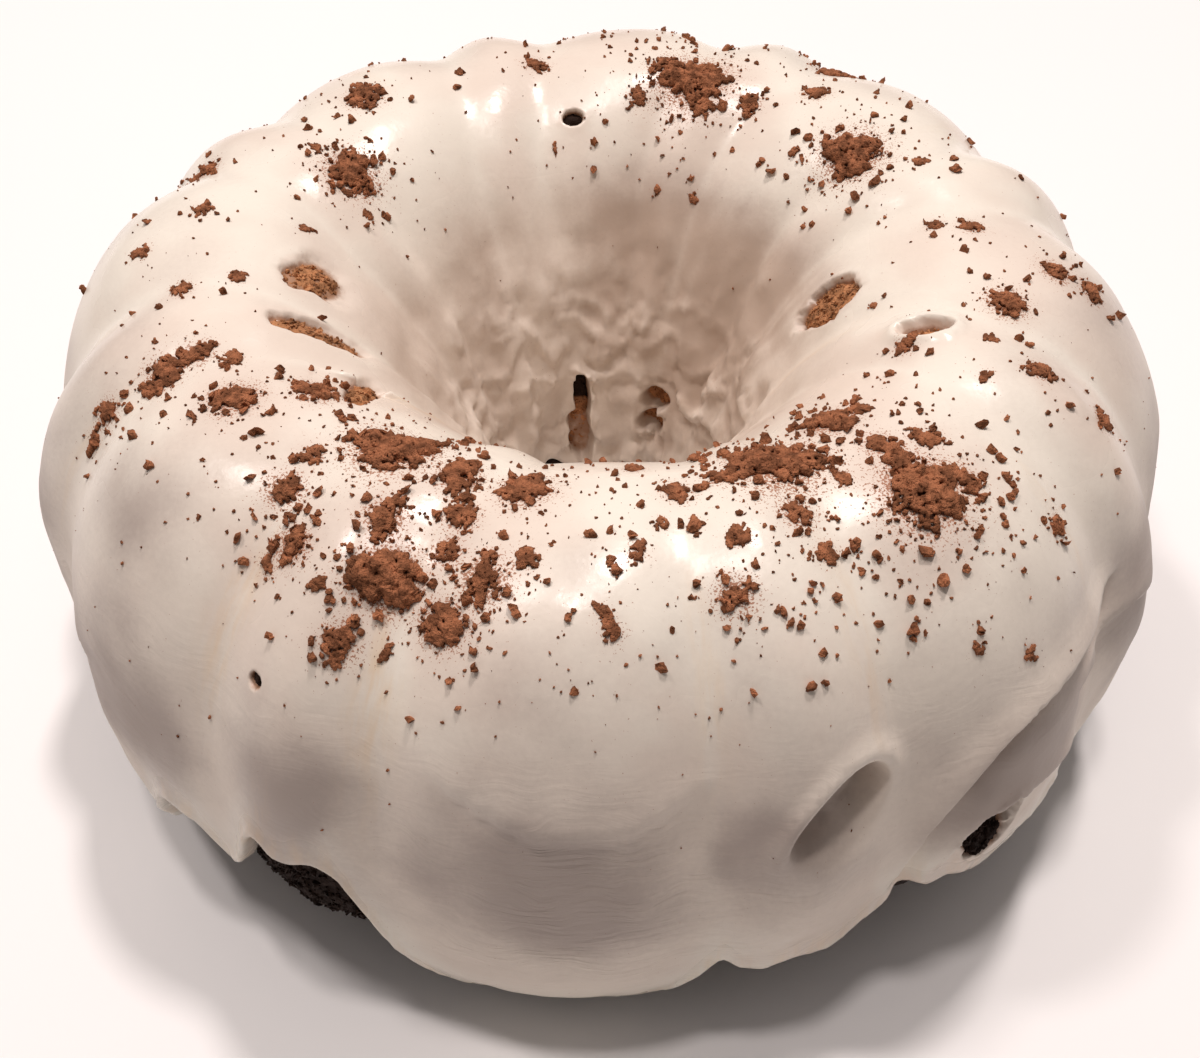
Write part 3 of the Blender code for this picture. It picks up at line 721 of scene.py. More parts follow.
def build_icing(form):
    """The closed shell of icing, with what its materials and the scatter need marked on it."""
    around = column_azimuths()
    edge = form.edge(around)
    end = form.throat_end(around + INNER_LEAN)
    measure = form.station + TURN_WEIGHT * np.abs(form.heading - form.heading[0])
    measure = measure + 0.6 * np.clip(form.station - 0.056, 0.0, 0.030)
    rows, sides = [], []
    for rise in EDGE_RISES:
        rows.append(edge + rise)
    start = edge + EDGE_RISES[-1]
    for share in np.linspace(0.0, 1.0, WALL_ROWS + 1)[1:-1]:
        rows.append(start + (BODY_FROM - start) * share)
    spread = np.interp((BODY_FROM, BODY_TO), form.station, measure)
    for station in np.interp(np.linspace(*spread, BODY_ROWS), measure, form.station):
        rows.append(station + 0.0 * around)
    last = end - END_RISES[0]
    for share in np.linspace(0.0, 1.0, THROAT_ROWS + 1)[1:-1]:
        rows.append(BODY_TO + (last - BODY_TO) * share)
    for rise in END_RISES:
        rows.append(end - rise)
    sides += [0.0] * len(rows)
    rows.append(end + 0.0)
    sides.append(0.5)
    for share in np.linspace(0.0, 1.0, UNDER_ROWS):
        rows.append(end + (edge - end) * share)
        sides.append(1.0)
    rows.append(edge + 0.0)
    sides.append(0.5)
    station = np.stack(rows, axis=1)
    table = np.stack([np.broadcast_to(around[:, None], station.shape), station], axis=2)
    mesh = strip_mesh("icing_coat", table, np.array(sides), closed=True)

    def by_a_rim(azimuth, station, side, rows=GAPS, within=-0.0022, outside=0.0022):
        turned = azimuth + form.lean(station)
        chosen = azimuth < NOWHERE
        for row in rows:
            distance = form.oval(turned, station, row)[0]
            chosen |= (distance > within) & (distance < outside)
        return chosen & (side < OUTER_SIDE)

    def by_a_step(azimuth, station, side, reach=0.0018, count=3):
        chosen = form.near_a_fold(azimuth, station, reach, count)
        _, x, y = form.oval(azimuth, station, DENT)
        rim = np.abs(np.hypot(x, y) - 0.98) < DENT_RIM * reach
        return (chosen | (rim & (steep_side(x, y) < 0.25))) & (side < OUTER_SIDE)

    small = [row for row in GAPS if min(row.width, row.length) < SMALL_GAP]
    refine(mesh, by_a_step, 1)
    refine(mesh, lambda *place: by_a_step(*place, 0.0009, 2), 1)
    refine(mesh, by_a_rim, 1)
    refine(mesh, lambda *place: by_a_rim(*place, small, -1.0, 0.0012), 1)
    flat = coordinates_of(mesh)
    column, station, side = flat.T
    azimuth = column + form.lean(station)
    edge, end = form.edge(column), form.throat_end(column + INNER_LEAN)
    top, opening = form.icing_lift(azimuth, station, edge, end)
    under = form.icing_under(azimuth, station, edge, end, top)
    lift = top + (under - top) * side
    nose = np.where(station < 0.0, -NOSE, NOSE) * 4.0 * side * (1.0 - side)
    spots = form.place(azimuth, station + nose, lift)
    depth = (top - form.sponge_lift(azimuth, station)) / form.sizes.icing_depth
    # Painted light: a warm glow along the lower edge, as if lit from below, mixed in with the cocoa streaks.
    edge_glow = 0.45 * fall(0.002, 0.012, station - edge) * (side < OUTER_SIDE)
    # This mark makes the wall rougher than the crest, and also paints shade: the wall and the hole greyer,
    # the crest and the lower edge left creamier as if brighter lit.
    satin = np.maximum(smooth(-0.02, -0.065, station), smooth(0.022, 0.050, station))
    brushed = np.maximum(bell(azimuth, -3, 15.0), bell(azimuth, -56, 11.0))
    brushed = brushed * smooth(-0.100, -0.085, station) * smooth(-0.048, -0.060, station)
    outside = (side < OUTER_SIDE) * (opening < 0.5)
    crumbs, dust = scatter_masks(form, azimuth, station)
    mark(
        mesh, cover=np.clip(depth, 0.0, 1.6), streak=np.maximum(streaks(azimuth, station), edge_glow),
        sheer=sheerness(form, azimuth, station, depth), inner=smooth(0.018, 0.042, station),
        powder=near_clumps(form, azimuth, station, 0.75),
        satin=satin * smooth(0.002, 0.022, station - edge),
        brushed=0.25 * smooth(-0.03, -0.05, station) + brushed,
        crumbs=outside * crumbs, dust=outside * dust)
    lay_map(mesh, "round", np.radians(column) * MAP_RADIUS, station)
    bend_round(mesh, spots)
    return show("icing_coat", mesh)


def sheerness(form, azimuth, station, depth):
    """How far the dark sponge greys the icing over the lobes low on the wall and between the runs, with
    painted shade added: a band low on the wall, the dent and the hole's walls, less round the sides.
    """
    spots = form.place(azimuth, station, 0.0)
    turned = azimuth + 3.0 * ripple(spots, 0.016, 26.0) + 1.3 * ripple(spots, 0.006, 27.0)
    raised = station + 0.0050 * ripple(spots, 0.018, 28.0) + 0.0022 * ripple(spots, 0.006, 29.0)
    crown = smooth(-1.2, 1.1, form.soft_flute(turned, station))
    # Painted shade: a darker band low on the wall, over the lobes, where the overhead light falls off.
    low = smooth(-0.094, -0.066, raised) * fall(-0.072, -0.036, raised)
    high = smooth(-0.066, -0.040, station) * fall(-0.010, 0.006, station)
    mottle = 0.5 + 0.7 * ripple(spots, 0.020, 20.0) + 0.25 * ripple(spots, 0.008, 21.0)
    fine = 0.5 + 0.7 * ripple(spots, 0.0045, 22.0)
    wall = (0.16 + 0.84 * crown) * (1.45 * low * (0.50 + 0.50 * mottle) + 0.45 * high * mottle)
    # Less of it round the sides of the ring, as if more light reached them: painted light.
    wall = wall * (1.0 - 0.60 * smooth(68.0, 100.0, np.abs(turn_away(azimuth, 0.0))))
    wall = wall * (1.0 - 0.40 * bell(azimuth, 21.0, 11.0))
    # Painted shade in the dent.
    wall = wall + 0.45 * form.dent(azimuth, station)[0]
    for centre, middle, half, length, strength in GREY_PATCHES:
        wall = wall + strength * bell(turned, centre, half) * bump(raised - middle, length)
    wall = wall + 0.16 * np.clip(mottle - 0.35, 0.0, 1.0)
    # Painted shade in the hole: its walls darker all round and darkest at the back, towards azimuth 142,
    # mixed with the thin icing's patches.
    inside = smooth(0.020, 0.042, station)
    ring = around_ring(azimuth)
    runs = 0.5 + 0.6 * ripple(ring * 5.0, 1.0, 25.0) + 0.4 * ripple(ring * 15.0, 1.0, 24.0)
    back = 0.50 + 0.55 * smooth(0.3, 0.98, np.cos(np.radians(turn_away(azimuth, 142.0))))
    thin = smooth(1.25, 0.85, depth)
    patches = 0.45 * runs * smooth(0.085, 0.055, station) + 0.35 * thin
    patches = patches - 0.35 * (1.0 - fine) + 0.25 * (mottle - 0.5)
    return np.clip(np.maximum(wall, inside * back * (0.55 + patches)), 0.0, 1.0)


def streaks(azimuth, station):
    """How strong the yellow-brown streaks are at each point."""
    total = 0.0 * azimuth
    for centre, middle, half, length, strength in STREAKS:
        one = strength * bell(azimuth, centre, half) * bump(station - middle, length)
        total = np.maximum(total, one)
    return total


def scatter_masks(form, azimuth, station):
    """Where loose crumbs and dust lie, from 0 to 1: thick at the front of the crest and by the clumps."""
    front = np.exp(-((turn_away(azimuth, 3.0) / 50.0) ** 4)) * np.exp(-(((station + 0.004) / 0.025) ** 4))
    crest = np.exp(-(((station - 0.002) / 0.031) ** 4))
    below = bell(azimuth, 0.0, 70.0) * bump(station + 0.035, 0.022)
    everywhere = smooth(-0.080, -0.060, station) * fall(0.045, 0.070, station)
    near = near_clumps(form, azimuth, station, 1.35)
    close = near_clumps(form, azimuth, station, 0.85)
    spots = form.place(azimuth, station, 0.0)
    flocks = np.clip(0.5 + 1.5 * ripple(spots, 0.0085, 30.0), 0.0, 1.6)
    strewn = np.clip(0.4 + 1.6 * ripple(spots, 0.0060, 31.0), 0.0, 1.8)
    crumbs = flocks * (0.26 * front + 0.032 * crest + 0.002 * below) + 0.60 * near**1.6
    dust = strewn * (0.32 * front + 0.050 * crest + 0.030 * below)
    dust = dust + 0.02 * close + 0.05 * near + 0.006 * everywhere
    return np.clip(crumbs, 0.0, 1.0), np.clip(dust, 0.0, 1.0)


def build_sponge(form):
    """The fluted sponge as a closed ring, finer where the icing leaves it bare."""
    around = np.linspace(-180.0, 180.0, 361)
    stations = np.concatenate([
        np.linspace(SPONGE_FROM, -0.0700, 34), np.linspace(-0.0700, -0.0010, 22)[1:],
        np.linspace(-0.0010, 0.0420, 26)[1:], np.linspace(0.0420, 0.0780, 12)[1:],
        np.linspace(0.0780, SPONGE_TO, 22)[1:],
    ])
    rows = len(stations) + BENEATH_ROWS
    table = np.zeros((len(around), rows, 2))
    table[..., 0] = around[:, None]
    table[:, :len(stations), 1] = stations
    table[:, len(stations):, 1] = np.arange(BENEATH_ROWS) * BENEATH_STEP + BENEATH_FROM
    mesh = strip_mesh("sponge_ring", table, np.zeros(rows), closed=True)

    def bare(azimuth, station, side):
        turned = azimuth + form.lean(station)
        chosen = (np.abs(azimuth + 29.0) < 18.0) & (station < -0.072) & (station > -0.108)
        for row in GAPS:
            chosen |= (form.oval(turned, station, row)[0] < 0.0015) & (station < 0.19)
        return chosen

    refine(mesh, bare, 2)
    column, station, _ = coordinates_of(mesh).T
    held = np.minimum(station, SPONGE_TO)
    azimuth = column + form.lean(held)
    coated = station < 0.15
    spots = form.place(azimuth, held, form.sponge_lift(azimuth, held))
    start = 0.0 * held + SPONGE_FROM
    rim = form.place(azimuth, start, form.sponge_lift(azimuth, start)) - form.shift
    rim_radius, rim_height = np.hypot(rim[:, 0], rim[:, 1]), rim[:, 2]
    step = (station - BENEATH_FROM) / BENEATH_STEP
    path = np.arange(BENEATH_ROWS)
    inner = np.array([THROAT_TOE[0], 0.037, REST_INNER])
    inner_height = np.array([THROAT_TOE[1], 0.0008, 0.0])
    rest = np.linspace(REST_INNER, REST_OUTER, 5)[1:]
    share = np.interp(step, np.arange(6, 12), np.linspace(0.0, 1.0, 7)[:-1])
    radius = np.interp(step, path[:7], np.concatenate([inner, rest]))
    height = np.interp(step, path[:7], np.concatenate([inner_height, 0.0 * rest]))
    dome = step > 6
    domed = REST_OUTER + (rim_radius - REST_OUTER) * np.sin(share * math.pi / 2) ** 1.2
    radius = np.where(dome, domed, radius)
    height = np.where(dome, rim_height * share**1.7, height)
    beneath = form.ring_point(azimuth, radius, height)
    spots = np.where(coated[:, None], spots, beneath)
    showing = 0.0 * azimuth
    for row in GAPS:
        light = 0.25 if min(row.width, row.length) < 0.0035 and row.share == 1.0 else 1.0
        distance = form.oval(azimuth, station, row)[0]
        showing = np.maximum(showing, light * fall(0.0008, 0.0030, distance))
    low = (np.abs(turn_away(azimuth, -27.0)) < 9.0) & (station < -0.074) & (station > -0.1)
    mark(
        mesh, opened=np.where(coated & (station > -0.06), showing, 0.30 * showing),
        relief=np.where(coated, 1.0, 0.35 * dome),
        loose=np.where(coated, np.maximum(showing, 0.5 * low), 0.0))
    bend_round(mesh, spots)
    return show("sponge_ring", mesh)


def lumps_of_clumps(form, rng):
    """Centres and radii of the lumps that make up every clump of cocoa."""
    rows = list(LARGE_CLUMPS) + [
        (azimuth, station, size * rng.uniform(0.55, 1.15), size * rng.uniform(0.9, 1.5), 0.24 * size, 0.0)
        for azimuth, station, size in SMALL_CLUMPS
    ]
    turns, stations, lifts, radii = [], [], [], []
    for azimuth, station, width, length, height, solid in rows:
        count = int(14 + LUMP_RATE * width * length * (0.5 + 0.25 * height) * (1.0 + 0.6 * solid))
        angle = rng.uniform(0.0, 2 * math.pi, count)
        reach = np.sqrt(rng.uniform(0.0, 1.0, count))
        wander = rng.uniform(0.0, 2 * math.pi, 5)
        ragged = 1.0 - 0.75 * solid
        outline = 1.0 + ragged * sum(
            depth * np.sin(folds * angle + phase)
            for folds, depth, phase in zip((2, 3, 5, 8, 13), (0.15, 0.16, 0.14, 0.11, 0.09), wander)
        )
        stray = rng.uniform(0.0, 1.0, count) < 0.05
        outline = outline * np.where(stray, rng.uniform(1.0, 1.6, count), 1.0)
        wide = reach * outline * np.cos(angle) * width / 2
        long = reach * outline * np.sin(angle) * length / 2
        swing = rng.uniform(-0.9, 0.9) if width < 9.0 else 0.0
        x = wide * math.cos(swing) - long * math.sin(swing)
        y = wide * math.sin(swing) + long * math.cos(swing)
        thick = ripple(np.stack([x, y, 0.0 * x + azimuth], axis=-1), 1.7)
        cracks = ripple(np.stack([x, y, 0.0 * x + azimuth + 40.0], axis=-1), 2.6)
        kept = stray | (thick > -0.75 + (0.95 - 0.75 * solid) * reach**3)
        kept = kept & ((np.abs(cracks) > 0.10 * solid) | (reach > 0.9))
        level = 1.0 - reach ** (2.2 + 2.0 * solid)
        level = np.where(stray, 0.0, np.clip(level * (0.75 + 0.6 * thick), 0.0, 1.0))
        radius = rng.uniform(0.26, 0.46, count) * (1.0 + 0.25 * level * min(1.0, height / 3.0))
        radius = np.where(stray, rng.uniform(0.24, 0.36, count), radius)
        stacked = np.maximum(height - 1.2 * radius, 0.0) * level
        lift = 0.1 * radius + stacked * rng.uniform(0.0, 1.0, count) ** 0.22
        middle = form.radius_at(station * MM)
        turns.append((azimuth + np.degrees(x * MM / middle))[kept])
        stations.append(((station + y) * MM)[kept])
        lifts.append((lift * MM)[kept])
        radii.append((radius * MM)[kept])
    azimuth, station = np.concatenate(turns), np.concatenate(stations)
    ground = form.icing_lift(azimuth, station, form.edge(azimuth), form.throat_end(azimuth))[0]
    return form.place(azimuth, station, ground + np.concatenate(lifts)), np.concatenate(radii)


# ---------------------------------------------------------------- geometry nodes

def feed(tree, socket, source):
    """Link a socket to an input, or set the input's own value."""
    if isinstance(source, bpy.types.NodeSocket):
        tree.links.new(source, socket)
    elif socket.type == "RGBA":
        socket.default_value = (*source[:3], 1.0)
    else:
        socket.default_value = source


def node(tree, kind, inputs=(), **settings):
    """Add a node with its settings, and feed its inputs by name or number."""
    made = tree.nodes.new(kind)
    for key, value in settings.items():
        setattr(made, key, value)
    for key, source in dict(inputs).items():
        feed(tree, made.inputs[key], source)
    return made


def sum_of(tree, operation, *sources):
    """The value of one math node."""
    return node(tree, "ShaderNodeMath", enumerate(sources), operation=operation).outputs[0]


def vector_of(tree, operation, *sources):
    return node(tree, "ShaderNodeVectorMath", enumerate(sources), operation=operation).outputs[0]


def scaled(tree, vector, factor):
    """A vector times a number."""
    inputs = {0: vector, "Scale": factor}
    return node(tree, "ShaderNodeVectorMath", inputs, operation="SCALE").outputs[0]


def named(tree, attribute):
    """A vertex attribute in geometry nodes."""
    inputs = {"Name": attribute}
    return node(tree, "GeometryNodeInputNamedAttribute", inputs, data_type="FLOAT").outputs["Attribute"]


def new_tree(name, kind, *rows):
    """A node tree and its named inputs: name, kind of socket, value and what it is."""
    tree = bpy.data.node_groups.new(name, kind)
    if kind == "GeometryNodeTree":
        tree.is_modifier = True
        for side in ("INPUT", "OUTPUT"):
            tree.interface.new_socket("Geometry", in_out=side, socket_type="NodeSocketGeometry")
    for label, socket_kind, default, description in rows:
        socket = tree.interface.new_socket(label, in_out="INPUT", socket_type="NodeSocket" + socket_kind)
        socket.description = description
        if default is not None:
            socket.default_value = default
    return tree, node(tree, "NodeGroupInput").outputs


def pushed(tree, geometry, direction, amount):
    """Move each point along a direction."""
    inputs = {"Geometry": geometry, "Offset": scaled(tree, direction, amount)}
    return node(tree, "GeometryNodeSetPosition", inputs).outputs[0]


def realized(tree, geometry):
    return node(tree, "GeometryNodeRealizeInstances", {"Geometry": geometry}).outputs[0]


def painted(tree, geometry, material):
    """Set the material and end the tree."""
    inputs = {"Geometry": geometry, "Material": material}
    last = node(tree, "GeometryNodeSetMaterial", inputs).outputs[0]
    node(tree, "NodeGroupOutput", {"Geometry": last})
    return tree


def grain_tree():
    """Scatters grains over a surface where a mask allows, each uneven, turned and partly sunk."""
    tree, given = new_tree(
        "Scattered Grains", "GeometryNodeTree",
        ("Density", "Float", 1000.0, "Grains on each square metre where the mask is 1"),
        ("Mask", "String", "", "Name of the vertex attribute that thins them"),
        ("Smallest", "Float", 0.001, "Smallest grain across"),
        ("Largest", "Float", 0.002, "Largest grain across"),
        ("Rarity", "Float", 3.0, "How rare large grains are"),
        ("Lift", "Float", 0.2, "How far the middle stands out, in grain widths"),
        ("Raggedness", "Float", 0.3, "How uneven a grain is, in its widths"),
        ("Detail", "Int", 1, "Subdivisions of a grain"),
        ("Seed", "Int", 0, "Seed of the scatter"),
        ("Material", "Material", None, "Material of the grains"))

    def chance(kind, **limits):
        inputs = {**limits, "Seed": given["Seed"]}
        return node(tree, "FunctionNodeRandomValue", inputs, data_type=kind).outputs["Value"]

    points = node(tree, "GeometryNodeDistributePointsOnFaces", {
        "Mesh": given["Geometry"], "Seed": given["Seed"],
        "Density": sum_of(tree, "MULTIPLY", given["Density"], named(tree, given["Mask"])),
    }, distribute_method="RANDOM")
    share = sum_of(tree, "POWER", chance("FLOAT"), given["Rarity"])
    span = sum_of(tree, "SUBTRACT", given["Largest"], given["Smallest"])
    size = sum_of(tree, "MULTIPLY_ADD", share, span, given["Smallest"])
    kept = node(tree, "GeometryNodeStoreNamedAttribute", {
        "Name": "grain_size", "Geometry": points.outputs["Points"], "Value": size}, data_type="FLOAT")
    raised = sum_of(tree, "MULTIPLY", size, given["Lift"])
    stood = pushed(tree, kept.outputs["Geometry"], points.outputs["Normal"], raised)
    ball = node(tree, "GeometryNodeMeshIcoSphere", {"Radius": 0.5, "Subdivisions": given["Detail"]})
    measure = named(tree, "grain_size")
    stretch = chance("FLOAT_VECTOR", Min=(0.55, 0.65, 0.40), Max=(1.40, 1.20, 1.0))
    placed = node(tree, "GeometryNodeInstanceOnPoints", {
        "Points": stood, "Instance": ball.outputs["Mesh"], "Scale": scaled(tree, stretch, measure),
        "Rotation": chance("FLOAT_VECTOR", Max=(math.tau, math.tau, math.tau))})
    real = realized(tree, placed.outputs["Instances"])
    rough = node(tree, "ShaderNodeTexNoise", {"Detail": 1.0, "Scale": sum_of(tree, "DIVIDE", 1.7, measure)})
    centred = vector_of(tree, "SUBTRACT", rough.outputs["Color"], (0.5, 0.5, 0.5))
    amount = sum_of(tree, "MULTIPLY", sum_of(tree, "MULTIPLY", measure, given["Raggedness"]), 3.0)
    return painted(tree, pushed(tree, real, centred, amount), given["Material"])


def clump_tree():
    """Grows one crumbly skin round overlapping lumps."""
    tree, given = new_tree(
        "Crumbly Clumps", "GeometryNodeTree",
        ("Voxel", "Float", 0.00034, "Size of the finest detail"),
        ("Grit", "Float", 0.0002, "Height of the gritty surface"),
        ("Grit Size", "Float", 0.0007, "Distance between grits"),
        ("Material", "Material", None, "Material of the clumps"))
    radius = named(tree, "lump_radius")
    points = node(tree, "GeometryNodeMeshToPoints", {"Mesh": given["Geometry"], "Radius": radius})
    volume = node(tree, "GeometryNodePointsToVolume", {
        "Points": points.outputs["Points"], "Voxel Size": given["Voxel"], "Radius": radius,
    }, resolution_mode="VOXEL_SIZE")
    skin = node(tree, "GeometryNodeVolumeToMesh", {
        "Volume": volume.outputs["Volume"], "Voxel Size": given["Voxel"]}, resolution_mode="VOXEL_SIZE")
    grit = node(tree, "ShaderNodeTexNoise", {
        "Detail": 3.0, "Roughness": 0.7, "Scale": sum_of(tree, "DIVIDE", 1.0, given["Grit Size"])})
    height = sum_of(tree, "MULTIPLY", sum_of(tree, "SUBTRACT", grit.outputs[0], 0.5), given["Grit"])
    normal = node(tree, "GeometryNodeInputNormal").outputs[0]
    moved = pushed(tree, skin.outputs["Mesh"], normal, sum_of(tree, "MULTIPLY", height, 4.0))
    return painted(tree, realized(tree, moved), given["Material"])


def crumb_tree():
    """Roughens the sponge's surface with crumb and pits."""
    tree, given = new_tree(
        "Sponge Crumb", "GeometryNodeTree",
        ("Crumb Size", "Float", 0.0022, "Distance between crumbs"),
        ("Crumb Height", "Float", 0.0007, "Height of the crumb"),
        ("Pit Size", "Float", 0.0034, "Distance between pits"),
        ("Pit Depth", "Float", 0.0006, "Depth of the pits"),
        ("Mask", "String", "relief", "Name of the vertex attribute that fades it"),
        ("Material", "Material", None, "Material of the sponge"))
    crumb = node(tree, "ShaderNodeTexNoise", {
        "Detail": 4.0, "Roughness": 0.65, "Scale": sum_of(tree, "DIVIDE", 1.0, given["Crumb Size"])})
    raised = sum_of(tree, "SUBTRACT", crumb.outputs[0], 0.5)
    raised = sum_of(tree, "MULTIPLY", raised, given["Crumb Height"])
    pits = node(tree, "ShaderNodeTexVoronoi", {
        "Scale": sum_of(tree, "DIVIDE", 1.0, given["Pit Size"])}, feature="F1")
    hollow = sum_of(tree, "SUBTRACT", 0.42, pits.outputs["Distance"])
    hollow = sum_of(tree, "MULTIPLY", sum_of(tree, "MAXIMUM", hollow, 0.0), given["Pit Depth"])
    height = sum_of(
        tree, "SUBTRACT", sum_of(tree, "MULTIPLY", raised, 2.0), sum_of(tree, "MULTIPLY", hollow, 2.4))
    height = sum_of(tree, "MULTIPLY", height, named(tree, given["Mask"]))
    normal = node(tree, "GeometryNodeInputNormal").outputs[0]
    moved = pushed(tree, given["Geometry"], normal, height)
    return painted(tree, realized(tree, moved), given["Material"])


def shared(name, maker):
    """A node tree by name, made the first time it is asked for."""
    return bpy.data.node_groups.get(name) or maker()


def grown(host, tree, values, name):
    """Run a tree on a host and return what it makes as a plain mesh object."""
    modifier = host.modifiers.new(name, "NODES")
    modifier.node_group = tree
    for socket in tree.interface.items_tree:
        if socket.in_out == "INPUT" and socket.name in values:
            modifier[socket.identifier] = values[socket.name]
    bpy.context.view_layer.update()
    evaluated = host.evaluated_get(bpy.context.evaluated_depsgraph_get())
    mesh = bpy.data.meshes.new_from_object(evaluated)
    mesh.name = name
    host.modifiers.remove(modifier)
    if not mesh.polygons:
        raise RuntimeError(f"{name} came out empty")
    return show(name, mesh)


# ---------------------------------------------------------------- materials

def mixed(tree, share, first, second):
    """One colour mixed into another by a share."""
    made = node(tree, "ShaderNodeMix", data_type="RGBA")
    sockets = {socket.identifier: socket for socket in made.inputs}
    for name, source in (("Factor_Float", share), ("A_Color", first), ("B_Color", second)):
        feed(tree, sockets[name], source)
    return next(socket for socket in made.outputs if socket.identifier == "Result_Color")


def stepped(tree, value, low, high):
    """A soft step of a value from 0 at low to 1 at high."""
    inputs = {"Value": value, "From Min": low, "From Max": high}
    return node(tree, "ShaderNodeMapRange", inputs, interpolation_type="SMOOTHSTEP").outputs["Result"]


def spotted(tree, vector, size, detail=2.0, roughness=0.5):
    """Noise whose hills are about one size apart, a number or a socket of metres."""
    linked = isinstance(size, bpy.types.NodeSocket)
    scale = sum_of(tree, "DIVIDE", 1.0, size) if linked else 1.0 / size
    inputs = {"Vector": vector, "Detail": detail, "Roughness": roughness, "Scale": scale}
    return node(tree, "ShaderNodeTexNoise", inputs).outputs[0]


def marked(tree, name):
    """The value of a vertex attribute."""
    return node(tree, "ShaderNodeAttribute", attribute_name=name).outputs["Fac"]


def object_spot(tree):
    return node(tree, "ShaderNodeTexCoord").outputs["Object"]


def put_out(tree, **results):
    """Declare a shader group's outputs and feed them."""
    for name, (kind, _) in results.items():
        tree.interface.new_socket(name, in_out="OUTPUT", socket_type="NodeSocket" + kind)
    node(tree, "NodeGroupOutput", {name: source for name, (_, source) in results.items()})
    return tree


def grain_group():
    """Fine grain, broad patches and scattered specks, for every finish."""
    tree, given = new_tree(
        "Fine Grain", "ShaderNodeTree",
        ("Grain Size", "Float", 0.001, "Distance between grains"),
        ("Patch Size", "Float", 0.01, "Distance between patches"))
    fine = spotted(tree, object_spot(tree), given["Grain Size"], 3.0, 0.6)
    broad = spotted(tree, object_spot(tree), given["Patch Size"], 2.0, 0.5)
    return put_out(
        tree, Height=("Float", fine), Patches=("Float", stepped(tree, broad, 0.32, 0.68)),
        Specks=("Float", stepped(tree, fine, 0.56, 0.66)))


def powder_group():
    """Cocoa too fine for single grains, as specks that close up where it lies thick."""
    tree, given = new_tree(
        "Powder Film", "ShaderNodeTree",
        ("Base", "Color", (0.8, 0.8, 0.8, 1.0), "Colour beneath the powder"),
        ("Powder", "Color", (0.2, 0.1, 0.05, 1.0), "Colour of the powder"),
        ("Amount", "Float", 0.0, "How thick the powder lies"),
        ("Speck Size", "Float", 0.0004, "Distance between specks"))
    specks = spotted(tree, object_spot(tree), given["Speck Size"], 2.0, 0.6)
    level = sum_of(tree, "MULTIPLY_ADD", given["Amount"], -0.34, 0.72)
    cover = stepped(tree, sum_of(tree, "SUBTRACT", specks, level), 0.0, 0.05)
    haze = sum_of(tree, "MULTIPLY", given["Amount"], 0.22)
    cover = sum_of(tree, "MINIMUM", sum_of(tree, "MULTIPLY_ADD", cover, 0.75, haze), 1.0)
    color = mixed(tree, cover, given["Base"], given["Powder"])
    return put_out(tree, Color=("Color", color), Cover=("Float", cover))


def place_group(tree, name, maker, **values):
    inputs = {key.replace("_", " ").title(): source for key, source in values.items()}
    return node(tree, "ShaderNodeGroup", inputs, node_tree=shared(name, maker)).outputs


def new_finish(name, **constants):
    """A material, its tree and its shader, with the shader's constants set."""
    made = bpy.data.materials.new(name)
    made.use_nodes = True
    shader = made.node_tree.nodes["Principled BSDF"]
    for key, value in constants.items():
        shader.inputs[key.replace("_", " ")].default_value = value
    return made, made.node_tree, shader


def fine_grain(tree, grain_size, patch_size):
    return place_group(tree, "Fine Grain", grain_group, grain_size=grain_size, patch_size=patch_size)


def surfaced(tree, shader, color, roughness, height, distance):
    """Feed the shader its colour and roughness, and a height in shares of a distance if it has one."""
    feed(tree, shader.inputs["Base Color"], color)
    feed(tree, shader.inputs["Roughness"], roughness)
    if distance:
        inputs = {"Strength": 1.0, "Distance": distance, "Height": height}
        feed(tree, shader.inputs["Normal"], node(tree, "ShaderNodeBump", inputs).outputs["Normal"])


